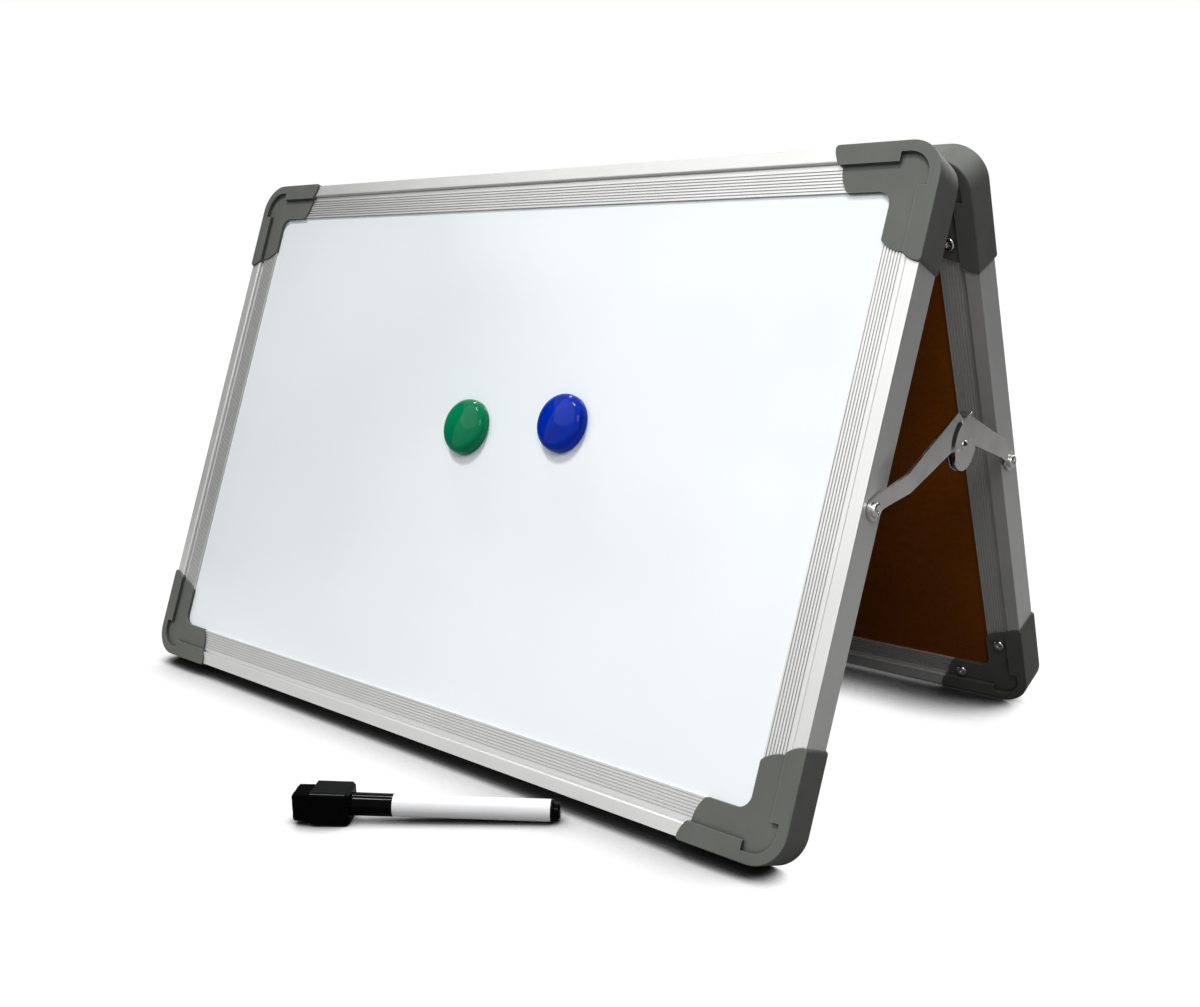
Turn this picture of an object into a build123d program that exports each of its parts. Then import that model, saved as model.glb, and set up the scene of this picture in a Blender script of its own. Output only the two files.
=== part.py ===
"""Desk-top magnetic whiteboard easel: two framed boards hinged along the top, two side stays,
two button magnets and a small dry-wipe marker that lies in front.

Axes: +Z is up, X runs along the boards, the front board faces -Y.  Z = 0 is the desk.
Each board is drawn flat in its own frame (x along the board, y up it, z out of its writing
face, z = 0 on the rail's raised rim) and is then stood up at half the opening angle.
All sizes are in millimetres.
"""
import os
from math import acos, atan2, cos, degrees, hypot, radians, sin

from build123d import *

# ---- boards -----------------------------------------------------------------------------
BOARD_W = 432.0          # over the rails
BOARD_H = 280.0          # over the rails
HALF_ANGLE = 22.65       # each board leans back by this much when the easel stands open

# ---- frame rail: a box tube with a ribbed flange on both faces --------------------------
RAIL_T = 15.2            # thickness over the rims
RIM_W = 6.2              # width of the raised rim
FACE_W = 18.0            # rim and flange together
FLANGE_DROP = 1.6        # flange face below the rim face
FLANGE_T = 1.0           # flange thickness
TUBE_WALL = 1.1          # wall of the box tube
RIB_COUNT = 7            # fine ribs along each flange
RIB_BAND = 9.4           # width of the ribbed band, up to the flange's inner edge
RIB_DEPTH = 0.35
RAIL_SETBACK = 20.0      # rail ends stop this far from the board's corner
PANEL_GAP = 0.5          # free space round the panel's edge inside the rail channel

# ---- panel that the rails clamp ---------------------------------------------------------
SHEET_T = 0.4            # lacquered steel
BACK_T = 3.0             # hardboard
# the core fills what is left between them

# ---- moulded corner caps ----------------------------------------------------------------
CAP_WALL = 1.0           # over the rail's edge and front rim
CAP_WALL_IN = 0.8        # over the inner rim and over both flanges
CAP_RIM_W = 7.4          # raised part of a leg, from the rail's outer edge
CAP_FACE_W = 18.5        # whole leg, from the rail's outer edge
CAP_LEG = 47.2           # leg length along the outer edge
CAP_LEG_RIM = 43.8       # leg length at the rim's inner edge
CAP_LEG_FLANGE = 42.6    # leg length at the flange's outer edge
CAP_LEG_INNER = 38.2     # leg length at the flange's inner edge
CAP_BULGE = 1.2          # how far a leg's end is rounded outwards
CAP_TOE_R = 1.5          # leg's corner at the outer edge
CAP_HEEL_R = 2.0         # leg's corner at the flange's inner edge
CAP_CORNER_R = 15.0      # outer corner
CAP_INNER_R = 6.0        # inner corner
POCKET_W = 3.5           # rim width beside the corner pocket, from the rail's outer edge
POCKET_STEP = 17.4       # where the rim steps back to its full width
TONGUE_L = 20.0          # plug that enters the rail's tube
TONGUE_FIT = 0.2         # play of the plug in the tube
CAP_EDGE_R = 0.45        # rounding of the outer edges

# ---- small screws -----------------------------------------------------------------------
SCREW_R = 1.4
SCREW_HEAD_R = 2.9
SCREW_HEAD_H = 1.5
SCREW_LEN = 6.0
HOLE_FIT = 0.05          # radial play of a shank in its hole
CAP_SCREW_ALONG = 34.5   # from the board's corner, along the leg
CAP_SCREW_IN = 12.0      # from the rail's outer edge

# ---- top hinges -------------------------------------------------------------------------
PIN_R = 1.0
KNUCKLE_R = 2.0
KNUCKLE_COUNT = 5
KNUCKLE_GAP = 0.3        # between neighbouring knuckles
LEAF_L = 42.0
LEAF_W = 12.0
LEAF_T = 1.2
LEAF_GAP = 0.4           # leaf edge to the other leaf's knuckle
HINGE_INSET = 81.0       # hinge centres, in from the board's ends
AXIS_RISE = 2.2          # hinge axis above the rail's top face
AXIS_OUT = 1.0           # hinge axis beyond the board's inner face: half the folded gap
HINGE_SCREW_X = 13.0     # hinge screws, either side of the hinge's middle
HINGE_SCREW_OUT = 7.6    # hinge screws, from the board's inner face

# ---- folding stays ----------------------------------------------------------------------
STAY_DROP = 140.5        # pivots below the board's top edge
STAY_SLOPE = 14.6        # an open stay's arms rise by this much
STAY_T = 1.2             # strip thickness
EYE_R = 4.4
HEAD_R = 10.5
EYE_SIDE = 0.93          # where a strip's edges leave the eye, as a share of its radius
ARM_LOW_EDGE = ((0.11, -1.9), (0.27, -0.3), (0.845, 1.8))  # share of the arm, offset
ARM_TOP_EDGE = ((0.14, 5.2), (0.27, 7.6))
FRONT_TAB = ((-3.3, 4.9), (1.3, -0.1))   # stop tab's tip and foot: past the knuckle, beyond the head
REAR_TAB = ((0.0, 3.2), (4.6, 0.0))      # reaches further, to carry the lug
EYE_GAP = 0.3            # arm to rail
ARM_GAP = 1.0            # between the two arms at the knuckle
REAR_OFFSET = 3.3        # rear arm's joggle
JOGGLE_START = 5.6
JOGGLE_FRONT = 12.0      # length of the front arm's joggle
JOGGLE_REAR = 7.0
LUG_L = 4.0              # lug folded across the front arm from the far slope of the rear tab
LUG_OUT = 1.4            # how far the lug passes the front arm's outer face
RIVET_R = 1.4
RIVET_HEAD_R = 2.1
RIVET_HEAD_H = 1.2
RIVET_BACK_H = 0.9
STAY_SCREW_R = 1.6
STAY_HEAD_R = 3.0
STAY_HEAD_H = 1.4
STAY_SCREW_BITE = 2.5    # screw beyond the tube's wall
RIDGE_R = 10.0           # middle of the arc pressed into the front arm's head
RIDGE_HALF = 2.2         # half its width
RIDGE_H = 0.9
RIDGE_END_STEP = 0.08    # its rounded ends are this much lower
RIDGE_FROM, RIDGE_TO = 105.0, 190.0
DIMPLE_R = 0.45
DIMPLE_AT = 5.5          # dimples, either side of the rivet
WASHER_IN = 2.5          # friction washer's edge inside the head's

# ---- button magnets ---------------------------------------------------------------------
MAGNET_R = 13.7
MAGNET_H = 7.6
MAGNET_EDGE_H = 1.8      # upright edge below the rounded shoulder
MAGNET_SHOULDER_R = 4.4
MAGNET_FOOT = 0.5        # bevel at the foot
FERRITE_R = 9.0
FERRITE_T = 4.0
FERRITE_FIT = 0.05
GREEN_AT = (-3.8, 151.7)  # along the board, up the board
BLUE_AT = (57.3, 158.4)

# ---- marker: distances run from the eraser's face to the end plug -----------------------
FELT_L = 8.2
FELT_SQ = 12.0
FELT_ROUND, FELT_BEVEL = 1.4, 0.8    # long edges, working face
BLOCK_L = 16.0
BLOCK_SQ = 14.6
BLOCK_ROUND, BLOCK_BEVEL = 1.6, 1.2  # long edges, face towards the tube
CAP_TUBE_L = 17.4
CAP_TUBE_R = 4.9
CAP_MOUTH_R = 4.8
NECK_R = 3.9
NECK_L = 7.0
NECK_FIT = 0.08
CAP_BORE_L = 27.0
BARREL_L = 66.0
BARREL_R = 4.7
BARREL_WALL = 0.9
BORE_START = 2.0         # solid end of the barrel behind the neck
PLUG_FLANGE_L = 1.3
PLUG_TIP_L = 2.7
PLUG_TIP_R = 3.6
PLUG_BEVEL = 0.6
PLUG_IN = 4.0
HOLDER_L = 12.0
HOLDER_OUT = 2.0         # holder beyond the neck
HOLDER_R = 3.0
NIB_R = 1.7
NIB_OUT = 5.0            # nib beyond the holder
INK_R = 3.6
INK_L = 46.0
MARKER_X = 24.9          # middle of the eraser's face, along the board
MARKER_OUT = 88.7        # and in front of the board's foot
MARKER_TURN = 36.8

# ---- derived places ---------------------------------------------------------------------
LEAN = radians(HALF_ANGLE)
SHEET_Z = -FLANGE_DROP - FLANGE_T
PANEL_T = RAIL_T + 2 * SHEET_Z
CORE_T = PANEL_T - SHEET_T - BACK_T
PANEL_EDGE = RIM_W + PANEL_GAP
INNER_Z = -RAIL_T
FOOT_RISE = CAP_WALL * cos(LEAN) + CAP_WALL_IN * sin(LEAN)
HALF_TOP_GAP = AXIS_RISE * sin(LEAN) + AXIS_OUT * cos(LEAN)
NORMAL = Vector(0, -cos(LEAN), sin(LEAN))
BASE = Vector(0, -HALF_TOP_GAP - BOARD_H * sin(LEAN), FOOT_RISE)
FRONT_FRAME = Plane(origin=BASE + NORMAL * RAIL_T, x_dir=(1, 0, 0), z_dir=NORMAL)


def board_point(x, y, z):
    """World place of a point that is given in the front board's own frame."""
    return FRONT_FRAME.from_local_coords(Vector(x, y, z))


AXIS = board_point(0, BOARD_H + AXIS_RISE, INNER_Z - AXIS_OUT)
HINGE_X = BOARD_W / 2 - HINGE_INSET
STAY_V = BOARD_H - STAY_DROP
STAY_A = board_point(BOARD_W / 2, STAY_V, -RAIL_T / 2)
STAY_ARM = -STAY_A.Y / cos(radians(STAY_SLOPE))   # pivot to knuckle
KNUCKLE = Vector(BOARD_W / 2, 0, STAY_A.Z + STAY_ARM * sin(radians(STAY_SLOPE)))


def stand_up(shape):
    """Front board's own frame to the world."""
    return FRONT_FRAME.location * shape


def box_between(lo, hi):
    """Box from its lowest to its highest corner."""
    size = [b - a for a, b in zip(lo, hi)]
    mid = [(a + b) / 2 for a, b in zip(lo, hi)]
    return Pos(*mid) * Box(*size)


def rod(radius, length, at=(0, 0, 0), axis=(0, 0, 1)):
    """Cylinder that starts at a point and runs along an axis."""
    plane = Plane(origin=at, z_dir=axis)
    return plane.location * Cylinder(radius, length, align=(Align.CENTER, Align.CENTER, Align.MIN))


def crown_arc(radius, edge_h, top_h):
    """Arc from a rim to the apex on the axis, level at the apex."""
    rise = top_h - edge_h
    ball = (radius ** 2 + rise ** 2) / (2 * rise)
    half = atan2(radius, ball - rise) / 2
    mid = (ball * sin(half), top_h - ball + ball * cos(half))
    return ThreePointArc((radius, edge_h), mid, (0, top_h))


def button(radius, edge_h, top_h):
    """Domed round head that sits on z = 0."""
    side = Polyline((0, 0), (radius, 0), (radius, edge_h))
    outline = side + crown_arc(radius, edge_h, top_h) + Line((0, top_h), (0, 0))
    return revolve(make_face(Plane.XZ * outline), Axis.Z)


def pan_screw(shank_r, length, head_r, head_h):
    """Cross-head screw along +Z: its seat is at z = 0, the shank goes down."""
    head = button(head_r, head_h * 0.4, head_h)
    slot = Box(head_r * 1.15, head_r * 0.24, head_h * 1.1)
    head -= Pos(0, 0, head_h) * (slot + Rot(0, 0, 90) * slot)
    return head + rod(shank_r, length, (0, 0, -length))


# ---- rails ------------------------------------------------------------------------------
def rail_outline(ribbed):
    """Closed outline of the rail section: x inwards from the edge, y out of the face."""
    flange_in = RIM_W
    pitch = RIB_BAND / RIB_COUNT
    ribs = []
    if ribbed:
        start = FACE_W - RIB_BAND
        for i in range(RIB_COUNT):
            at = start + i * pitch
            ribs += [(at, 0), (at, -RIB_DEPTH), (at + pitch * 0.45, -RIB_DEPTH), (at + pitch * 0.45, 0)]
    front = [(0, 0), (RIM_W, 0), (RIM_W, -FLANGE_DROP)]
    front += [(x, y - FLANGE_DROP) for x, y in ribs]
    front += [(FACE_W, -FLANGE_DROP), (FACE_W, SHEET_Z), (flange_in, SHEET_Z)]
    back = [(x, -RAIL_T - y) for x, y in reversed(front)]
    return front + back


def rail_section(ribbed=True, hollow=True):
    """Section of the rail as a face."""
    face = make_face(Polyline(*rail_outline(ribbed), close=True))
    if hollow:
        inside = Rectangle(RIM_W - 2 * TUBE_WALL, RAIL_T - 2 * TUBE_WALL)
        face -= Pos(RIM_W / 2, -RAIL_T / 2) * inside
    return face


SECTION_PLANE = Plane(origin=(0, 0, 0), x_dir=(0, 1, 0), z_dir=(1, 0, 0))


def rail(length, ribbed=True, hollow=True):
    """Rail along X, centred, with its outer edge on y = 0 and the board towards +Y."""
    section = SECTION_PLANE.location * rail_section(ribbed, hollow)
    return extrude(section, length / 2, dir=(1, 0, 0), both=True)


def rail_places():
    """Name, length and place of the four rails of a board."""
    long_side = BOARD_W - 2 * RAIL_SETBACK
    short_side = BOARD_H - 2 * RAIL_SETBACK
    return {
        "rail_bottom": (long_side, Pos(0, 0, 0)),
        "rail_top": (long_side, Pos(0, BOARD_H, 0) * Rot(0, 0, 180)),
        "rail_left": (short_side, Pos(-BOARD_W / 2, BOARD_H / 2, 0) * Rot(0, 0, -90)),
        "rail_right": (short_side, Pos(BOARD_W / 2, BOARD_H / 2, 0) * Rot(0, 0, 90)),
    }


# ---- corner caps, drawn for the bottom left corner --------------------------------------
def swap(points):
    """The same points for the other leg."""
    return [(y, x) for x, y in points]


def leg_end():
    """Points of a leg's rounded end, from the outer edge to the flange's inner edge."""
    rim_mid = ((CAP_LEG + CAP_LEG_RIM) / 2 + CAP_BULGE * 0.7, (CAP_RIM_W - CAP_WALL) / 2)
    flange_mid = ((CAP_LEG_FLANGE + CAP_LEG_INNER) / 2 + CAP_BULGE, (CAP_RIM_W + CAP_FACE_W) / 2)
    outer = ((CAP_LEG, -CAP_WALL), rim_mid, (CAP_LEG_RIM, CAP_RIM_W))
    inner = ((CAP_LEG_FLANGE, CAP_RIM_W), flange_mid, (CAP_LEG_INNER, CAP_FACE_W))
    return outer, inner


def outer_corner():
    """Rounded outer corner as start, middle and end of its arc."""
    centre = CAP_CORNER_R - CAP_WALL
    mid = centre - CAP_CORNER_R * cos(radians(45))
    return (centre, -CAP_WALL), (mid, mid), (-CAP_WALL, centre)


def softened(face, corners, radius):
    """The face with the corners at these points rounded."""
    near = [v for v in face.vertices() if any(hypot(v.X - x, v.Y - y) < 1e-3 for x, y in corners)]
    return fillet(near, radius)


def cap_face():
    """Whole L of the cap."""
    outer, inner = leg_end()
    a, m, b = outer_corner()
    other, other_in = swap(outer), swap(inner)
    inner_bend = CAP_FACE_W + CAP_INNER_R
    bend_mid = inner_bend - CAP_INNER_R * cos(radians(45))
    wire = [
        Line(a, outer[0]), ThreePointArc(*outer), Line(outer[2], inner[0]), ThreePointArc(*inner),
        Line(inner[2], (inner_bend, CAP_FACE_W)),
        ThreePointArc((inner_bend, CAP_FACE_W), (bend_mid, bend_mid), (CAP_FACE_W, inner_bend)),
        Line((CAP_FACE_W, inner_bend), other_in[2]), ThreePointArc(*other_in[::-1]),
        Line(other_in[0], other[2]), ThreePointArc(*other[::-1]), Line(other[0], b),
        ThreePointArc(b, m, a),
    ]
    face = softened(make_face(Curve() + wire), (inner[2], other_in[2]), CAP_HEEL_R)
    return softened(face, (outer[0], other[0]), CAP_TOE_R)


def cap_rim_face():
    """Raised rim of the cap, which narrows beside the corner pocket."""
    outer, _ = leg_end()
    other = swap(outer)
    a, m, b = outer_corner()
    centre = CAP_CORNER_R - CAP_WALL
    pocket_mid = centre - (centre - POCKET_W) * cos(radians(45))
    wire = [
        Line(a, outer[0]), ThreePointArc(*outer), Line(outer[2], (POCKET_STEP, CAP_RIM_W)),
        Line((POCKET_STEP, CAP_RIM_W), (POCKET_STEP, POCKET_W)),
        Line((POCKET_STEP, POCKET_W), (centre, POCKET_W)),
        ThreePointArc((centre, POCKET_W), (pocket_mid, pocket_mid), (POCKET_W, centre)),
        Line((POCKET_W, centre), (POCKET_W, POCKET_STEP)),
        Line((POCKET_W, POCKET_STEP), (CAP_RIM_W, POCKET_STEP)),
        Line((CAP_RIM_W, POCKET_STEP), other[2]), ThreePointArc(*other[::-1]), Line(other[0], b),
        ThreePointArc(b, m, a),
    ]
    return softened(make_face(Curve() + wire), (outer[0], other[0]), CAP_TOE_R)


def cap_screw_spots():
    """Screw centres on the two legs."""
    return [(CAP_SCREW_ALONG, CAP_SCREW_IN), (CAP_SCREW_IN, CAP_SCREW_ALONG)]


def cap_body():
    """Outside of the cap, solid, with its rounded long edges."""
    flange_z = -FLANGE_DROP + CAP_WALL_IN
    back_z = INNER_Z - flange_z
    plate = Pos(0, 0, back_z) * extrude(cap_face(), flange_z - back_z)
    low, high = INNER_Z - CAP_WALL_IN, CAP_WALL
    rim = Pos(0, 0, low) * extrude(cap_rim_face(), high - low)
    top = rim.edges().filter_by(lambda e: abs(e.center().Z - high) < 1e-6)
    bottom = rim.edges().filter_by(lambda e: abs(e.center().Z - low) < 1e-6)
    rounded = [e for e in list(top) + list(bottom) if on_outer_edge(e)]
    return fillet(rounded, CAP_EDGE_R) + plate


def on_outer_edge(edge):
    """True for the edges along the cap's outside."""
    mid = edge @ 0.5
    corner = CAP_CORNER_R - CAP_WALL
    in_arc = mid.X < corner and mid.Y < corner
    on_arc = abs(hypot(mid.X - corner, mid.Y - corner) - CAP_CORNER_R) < 1e-3
    straight = abs(mid.X + CAP_WALL) < 1e-3 or abs(mid.Y + CAP_WALL) < 1e-3
    return straight or (in_arc and on_arc)


def corner_cap():
    """Cap with the room for rails and panel, its plugs and its screw holes."""
    reach = CAP_LEG + CAP_BULGE + 5
    length = reach - RAIL_SETBACK
    slug = Pos(RAIL_SETBACK + length / 2, 0, 0) * rail(length, ribbed=False, hollow=False)
    slug += box_between((RAIL_SETBACK, RIM_W, INNER_Z - SHEET_Z), (reach, FACE_W, SHEET_Z))
    turned = mirror(slug, Plane(origin=(0, 0, 0), z_dir=(1, -1, 0)))
    slot = box_between((PANEL_EDGE, PANEL_EDGE, INNER_Z - SHEET_Z), (reach, reach, SHEET_Z))
    body = cap_body() - slug - turned - slot
    plug_in = TUBE_WALL + TONGUE_FIT
    plug = box_between((RAIL_SETBACK - 1, plug_in, INNER_Z + plug_in),
                       (RAIL_SETBACK + TONGUE_L, RIM_W - plug_in, -plug_in))
    body += plug + mirror(plug, Plane(origin=(0, 0, 0), z_dir=(1, -1, 0)))
    for x, y in cap_screw_spots():
        body -= rod(SCREW_R + HOLE_FIT, RAIL_T, (x, y, INNER_Z - 2 + CAP_WALL_IN))
        body += Pos(x, y, 0) * cap_front_patch()
    return body


def cap_front_patch():
    """Closes the front of the screw hole, which is only in the inner face."""
    top = -FLANGE_DROP + CAP_WALL_IN
    return rod(SCREW_R + HOLE_FIT, top + FLANGE_DROP, (0, 0, -FLANGE_DROP))


def cap_screw():
    """Screw into the inner face, its seat on the cap's flange."""
    seat = INNER_Z + FLANGE_DROP - CAP_WALL_IN
    return Pos(0, 0, seat) * Rot(180, 0, 0) * pan_screw(SCREW_R, SCREW_LEN, SCREW_HEAD_R, SCREW_HEAD_H)


def corner_places():
    """Turns the bottom left corner's frame into each corner of the board."""
    flip_x = Plane.YZ
    flip_y = Plane.XZ
    to_left, to_right = Pos(-BOARD_W / 2, 0, 0), Pos(BOARD_W / 2, 0, 0)
    rise = Pos(0, BOARD_H, 0)
    return {
        "corner_bottom_left": lambda s: to_left * s,
        "corner_bottom_right": lambda s: to_right * mirror(s, flip_x),
        "corner_top_left": lambda s: to_left * rise * mirror(s, flip_y),
        "corner_top_right": lambda s: to_right * rise * mirror(mirror(s, flip_x), flip_y),
    }


# ---- holes that rails and panel share with the screws -----------------------------------
def board_screw_spots():
    """Centres of the eight cap screws in the board's frame."""
    half = BOARD_W / 2
    spots = []
    for x, y in cap_screw_spots():
        for sx in (-1, 1):
            for top in (False, True):
                spots.append((sx * (half - x), BOARD_H - y if top else y))
    return spots


def cap_screw_holes():
    """Drillings for the eight cap screws, from the inner face."""
    depth = FLANGE_DROP - CAP_WALL_IN
    reach = SCREW_LEN - CAP_WALL_IN
    holes = [rod(SCREW_R + HOLE_FIT, reach + 1, (x, y, INNER_Z + depth)) for x, y in board_screw_spots()]
    return Compound(children=holes)


def hinge_screw_holes():
    """Drillings in the top rail for the hinge screws."""
    z = INNER_Z + HINGE_SCREW_OUT
    holes = []
    for cx in (-HINGE_X, HINGE_X):
        for dx in (-HINGE_SCREW_X, HINGE_SCREW_X):
            at = (cx + dx, BOARD_H + 1, z)
            holes.append(rod(SCREW_R + HOLE_FIT, TUBE_WALL + 2, at, (0, -1, 0)))
    return Compound(children=holes)


def stay_screw_holes():
    """Drillings in the side rails for the stay screws."""
    holes = []
    for sx in (-1, 1):
        at = (sx * (BOARD_W / 2 + 1), STAY_V, -RAIL_T / 2)
        holes.append(rod(STAY_SCREW_R + HOLE_FIT, TUBE_WALL + 2, at, (-sx, 0, 0)))
    return Compound(children=holes)


# ---- one board --------------------------------------------------------------------------
def panel():
    """Steel sheet, core and hardboard, clamped between the flanges."""
    x, y0, y1 = BOARD_W / 2 - PANEL_EDGE, PANEL_EDGE, BOARD_H - PANEL_EDGE
    sheet_back = SHEET_Z - SHEET_T
    core_back = sheet_back - CORE_T
    layers = {
        "writing_sheet": (sheet_back, SHEET_Z),
        "core": (core_back, sheet_back),
        "hardboard_back": (core_back - BACK_T, core_back),
    }
    holes = cap_screw_holes()
    solids = {name: box_between((-x, y0, lo), (x, y1, hi)) for name, (lo, hi) in layers.items()}
    for name in ("core", "hardboard_back"):
        solids[name] -= holes
    return solids


def board():
    """Every piece that both boards have, in the front board's place."""
    pieces = panel()
    holes = cap_screw_holes()
    for name, (length, place) in rail_places().items():
        drilled = place * rail(length) - holes
        if name == "rail_top":
            drilled -= hinge_screw_holes()
        if name in ("rail_left", "rail_right"):
            drilled -= stay_screw_holes()
        pieces[name] = drilled
    screws = []
    cap, screw = corner_cap(), cap_screw()
    for name, place in corner_places().items():
        pieces[name] = place(cap)
        screws += [place(Pos(x, y, 0) * screw) for x, y in cap_screw_spots()]
    pieces["corner_screws"] = Compound(children=screws)
    return {name: stand_up(shape) for name, shape in pieces.items()}


# ---- top hinges -------------------------------------------------------------------------
def knuckle_spans(own_first):
    """Stretches along the pin that belong to one leaf."""
    pitch = LEAF_L / KNUCKLE_COUNT
    first = 0 if own_first else 1
    return [(i * pitch - LEAF_L / 2 + (KNUCKLE_GAP / 2 if i else 0),
             (i + 1) * pitch - LEAF_L / 2 - (KNUCKLE_GAP / 2 if i < KNUCKLE_COUNT - 1 else 0))
            for i in range(first, KNUCKLE_COUNT, 2)]


def hinge_leaf(own_first):
    """Leaf on the top rail, in the board's frame, centred on x = 0."""
    axis_y, axis_z = BOARD_H + AXIS_RISE, INNER_Z - AXIS_OUT
    plate = box_between((-LEAF_L / 2, BOARD_H, axis_z), (LEAF_L / 2, BOARD_H + LEAF_T, INNER_Z + LEAF_W))
    for lo, hi in knuckle_spans(not own_first):
        plate -= rod(KNUCKLE_R + LEAF_GAP, hi - lo + KNUCKLE_GAP * 2, (lo - KNUCKLE_GAP, axis_y, axis_z), (1, 0, 0))
        under = axis_z + KNUCKLE_R + LEAF_GAP
        plate -= box_between((lo - KNUCKLE_GAP, BOARD_H - 1, axis_z - 1), (hi + KNUCKLE_GAP, axis_y, under))
    for lo, hi in knuckle_spans(own_first):
        plate += rod(KNUCKLE_R, hi - lo, (lo, axis_y, axis_z), (1, 0, 0))
        plate += box_between((lo, BOARD_H, axis_z), (hi, axis_y, axis_z + KNUCKLE_R))
    plate -= rod(PIN_R + HOLE_FIT, LEAF_L + 2, (-LEAF_L / 2 - 1, axis_y, axis_z), (1, 0, 0))
    for dx in (-HINGE_SCREW_X, HINGE_SCREW_X):
        plate -= Pos(dx, BOARD_H + LEAF_T, INNER_Z + HINGE_SCREW_OUT) * countersunk(HOLE_FIT, LEAF_T + 1)
    return plate


def countersunk(fit, length):
    """Flat-head screw that points down -Y, its head flush with y = 0."""
    head = Cone(SCREW_R + fit, SCREW_HEAD_R - 0.3 + fit, SCREW_HEAD_R - 0.3 - SCREW_R,
                align=(Align.CENTER, Align.CENTER, Align.MAX))
    shank = Cylinder(SCREW_R + fit, length, align=(Align.CENTER, Align.CENTER, Align.MAX))
    return Rot(-90, 0, 0) * (head + shank)


def hinge_screws():
    """Four flat-head screws in the board's frame."""
    screws = []
    for cx in (-HINGE_X, HINGE_X):
        for dx in (-HINGE_SCREW_X, HINGE_SCREW_X):
            at = Pos(cx + dx, BOARD_H + LEAF_T, INNER_Z + HINGE_SCREW_OUT)
            screws.append(at * countersunk(0, SCREW_LEN))
    return Compound(children=screws)


def hinge_pin(x):
    """Pin with a small head at each end."""
    start = AXIS + Vector(x - LEAF_L / 2 - 1.2, 0, 0)
    pin = rod(PIN_R, LEAF_L + 2.4, start, (1, 0, 0))
    for at in (start, start + Vector(LEAF_L + 1.4, 0, 0)):
        pin += rod(PIN_R + 0.5, 1.0, at, (1, 0, 0))
    return pin


# ---- stays ------------------------------------------------------------------------------
def tab_points(tab):
    """Tip and foot of a stop tab in its arm's frame."""
    return [(STAY_ARM + past, HEAD_R + beyond) for past, beyond in tab]


def arm_outline(tab):
    """Flat pattern of an arm: x from the pivot to the knuckle, y towards the stop tab."""
    low = [(share * STAY_ARM, offset) for share, offset in ARM_LOW_EDGE]
    top = [(share * STAY_ARM, offset) for share, offset in reversed(ARM_TOP_EDGE)]
    tip, foot = tab_points(tab)
    side = EYE_R * EYE_SIDE
    strip = Polyline((0, -side), *low, (STAY_ARM, 0), foot, tip, *top, (0, side), close=True)
    return make_face(strip) + Circle(EYE_R) + Pos(STAY_ARM, 0) * Circle(HEAD_R)


def joggled(outline, start, length, low, high):
    """Strip cut to the outline and stepped from one level to the next along x."""
    end, far = start + length, STAY_ARM + HEAD_R + 5
    path = [(-EYE_R - 2, low), (start, low), (end, high), (far, high)]
    back = [(x, y + STAY_T) for x, y in reversed(path)]
    band = extrude(Plane.XZ * make_face(Polyline(*(path + back), close=True)), 30, both=True)
    return extrude(outline, 20) & band


def arm_frame():
    """Local frame of the front arm: x towards the knuckle, z outboard of the right side."""
    return Plane(origin=STAY_A, x_dir=(KNUCKLE - STAY_A).normalized(), z_dir=(1, 0, 0))


REAR_HIGH = EYE_GAP + REAR_OFFSET
FRONT_HIGH = REAR_HIGH + STAY_T + ARM_GAP


def pressed_arc(face):
    """Pieces of the low arc on the front arm's head: its band, a shallow circle across, and its ends."""
    ball = (RIDGE_HALF ** 2 + RIDGE_H ** 2) / (2 * RIDGE_H)
    root, level = face - STAY_T / 2, face + RIDGE_H - ball
    room = Pos(0, 0, root) * extrude(arm_outline(FRONT_TAB), STAY_T + RIDGE_H)
    across = Pos(RIDGE_R, level) * Circle(ball) & Pos(RIDGE_R, root + ball) * Rectangle(4 * ball, 2 * ball)
    band = revolve(Plane.XZ * across, Axis.Z, RIDGE_TO - RIDGE_FROM)
    pieces = [Rot(0, 0, RIDGE_FROM) * band]
    for angle in (RIDGE_FROM, RIDGE_TO):
        pieces.append(Rot(0, 0, angle) * Pos(RIDGE_R, 0, level) * Sphere(ball - RIDGE_END_STEP))
    return [Pos(STAY_ARM, 0, 0) * piece & room for piece in pieces]


def front_arm():
    """Outer arm of the right stay, with its pressed arc and dimples."""
    arm = joggled(arm_outline(FRONT_TAB), JOGGLE_START, JOGGLE_FRONT, EYE_GAP, FRONT_HIGH)
    arm -= rod(STAY_SCREW_R + HOLE_FIT, 20)
    arm -= Pos(STAY_ARM, 0, 0) * rod(RIVET_R + HOLE_FIT, 20)
    face = FRONT_HIGH + STAY_T
    for piece in pressed_arc(face):
        arm += piece
    for along_arm in (-DIMPLE_AT, DIMPLE_AT):
        arm -= Pos(STAY_ARM + along_arm, 0, face) * Sphere(DIMPLE_R)
    return arm_frame().location * arm


def rear_arm():
    """Inner arm of the right stay, flat side down, with the lug that meets the front arm's tab."""
    arm = joggled(arm_outline(REAR_TAB), JOGGLE_START, JOGGLE_REAR, EYE_GAP, REAR_HIGH)
    arm -= rod(STAY_SCREW_R + HOLE_FIT, 20)
    arm -= Pos(STAY_ARM, 0, 0) * rod(RIVET_R + HOLE_FIT, 20)
    (tip_x, tip_y), (foot_x, foot_y) = tab_points(REAR_TAB)
    slope = degrees(atan2(foot_y - tip_y, foot_x - tip_x))
    lug = Box(LUG_L, STAY_T, FRONT_HIGH + STAY_T + LUG_OUT - REAR_HIGH,
              align=(Align.CENTER, Align.CENTER, Align.MIN))
    middle = Pos((tip_x + foot_x) / 2, (tip_y + foot_y) / 2, REAR_HIGH)
    return arm + middle * Rot(0, 0, slope) * lug


def placed_rear_arm():
    """Rear arm mirrored into its place."""
    return mirror(arm_frame().location * rear_arm(), Plane.XZ)


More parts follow.
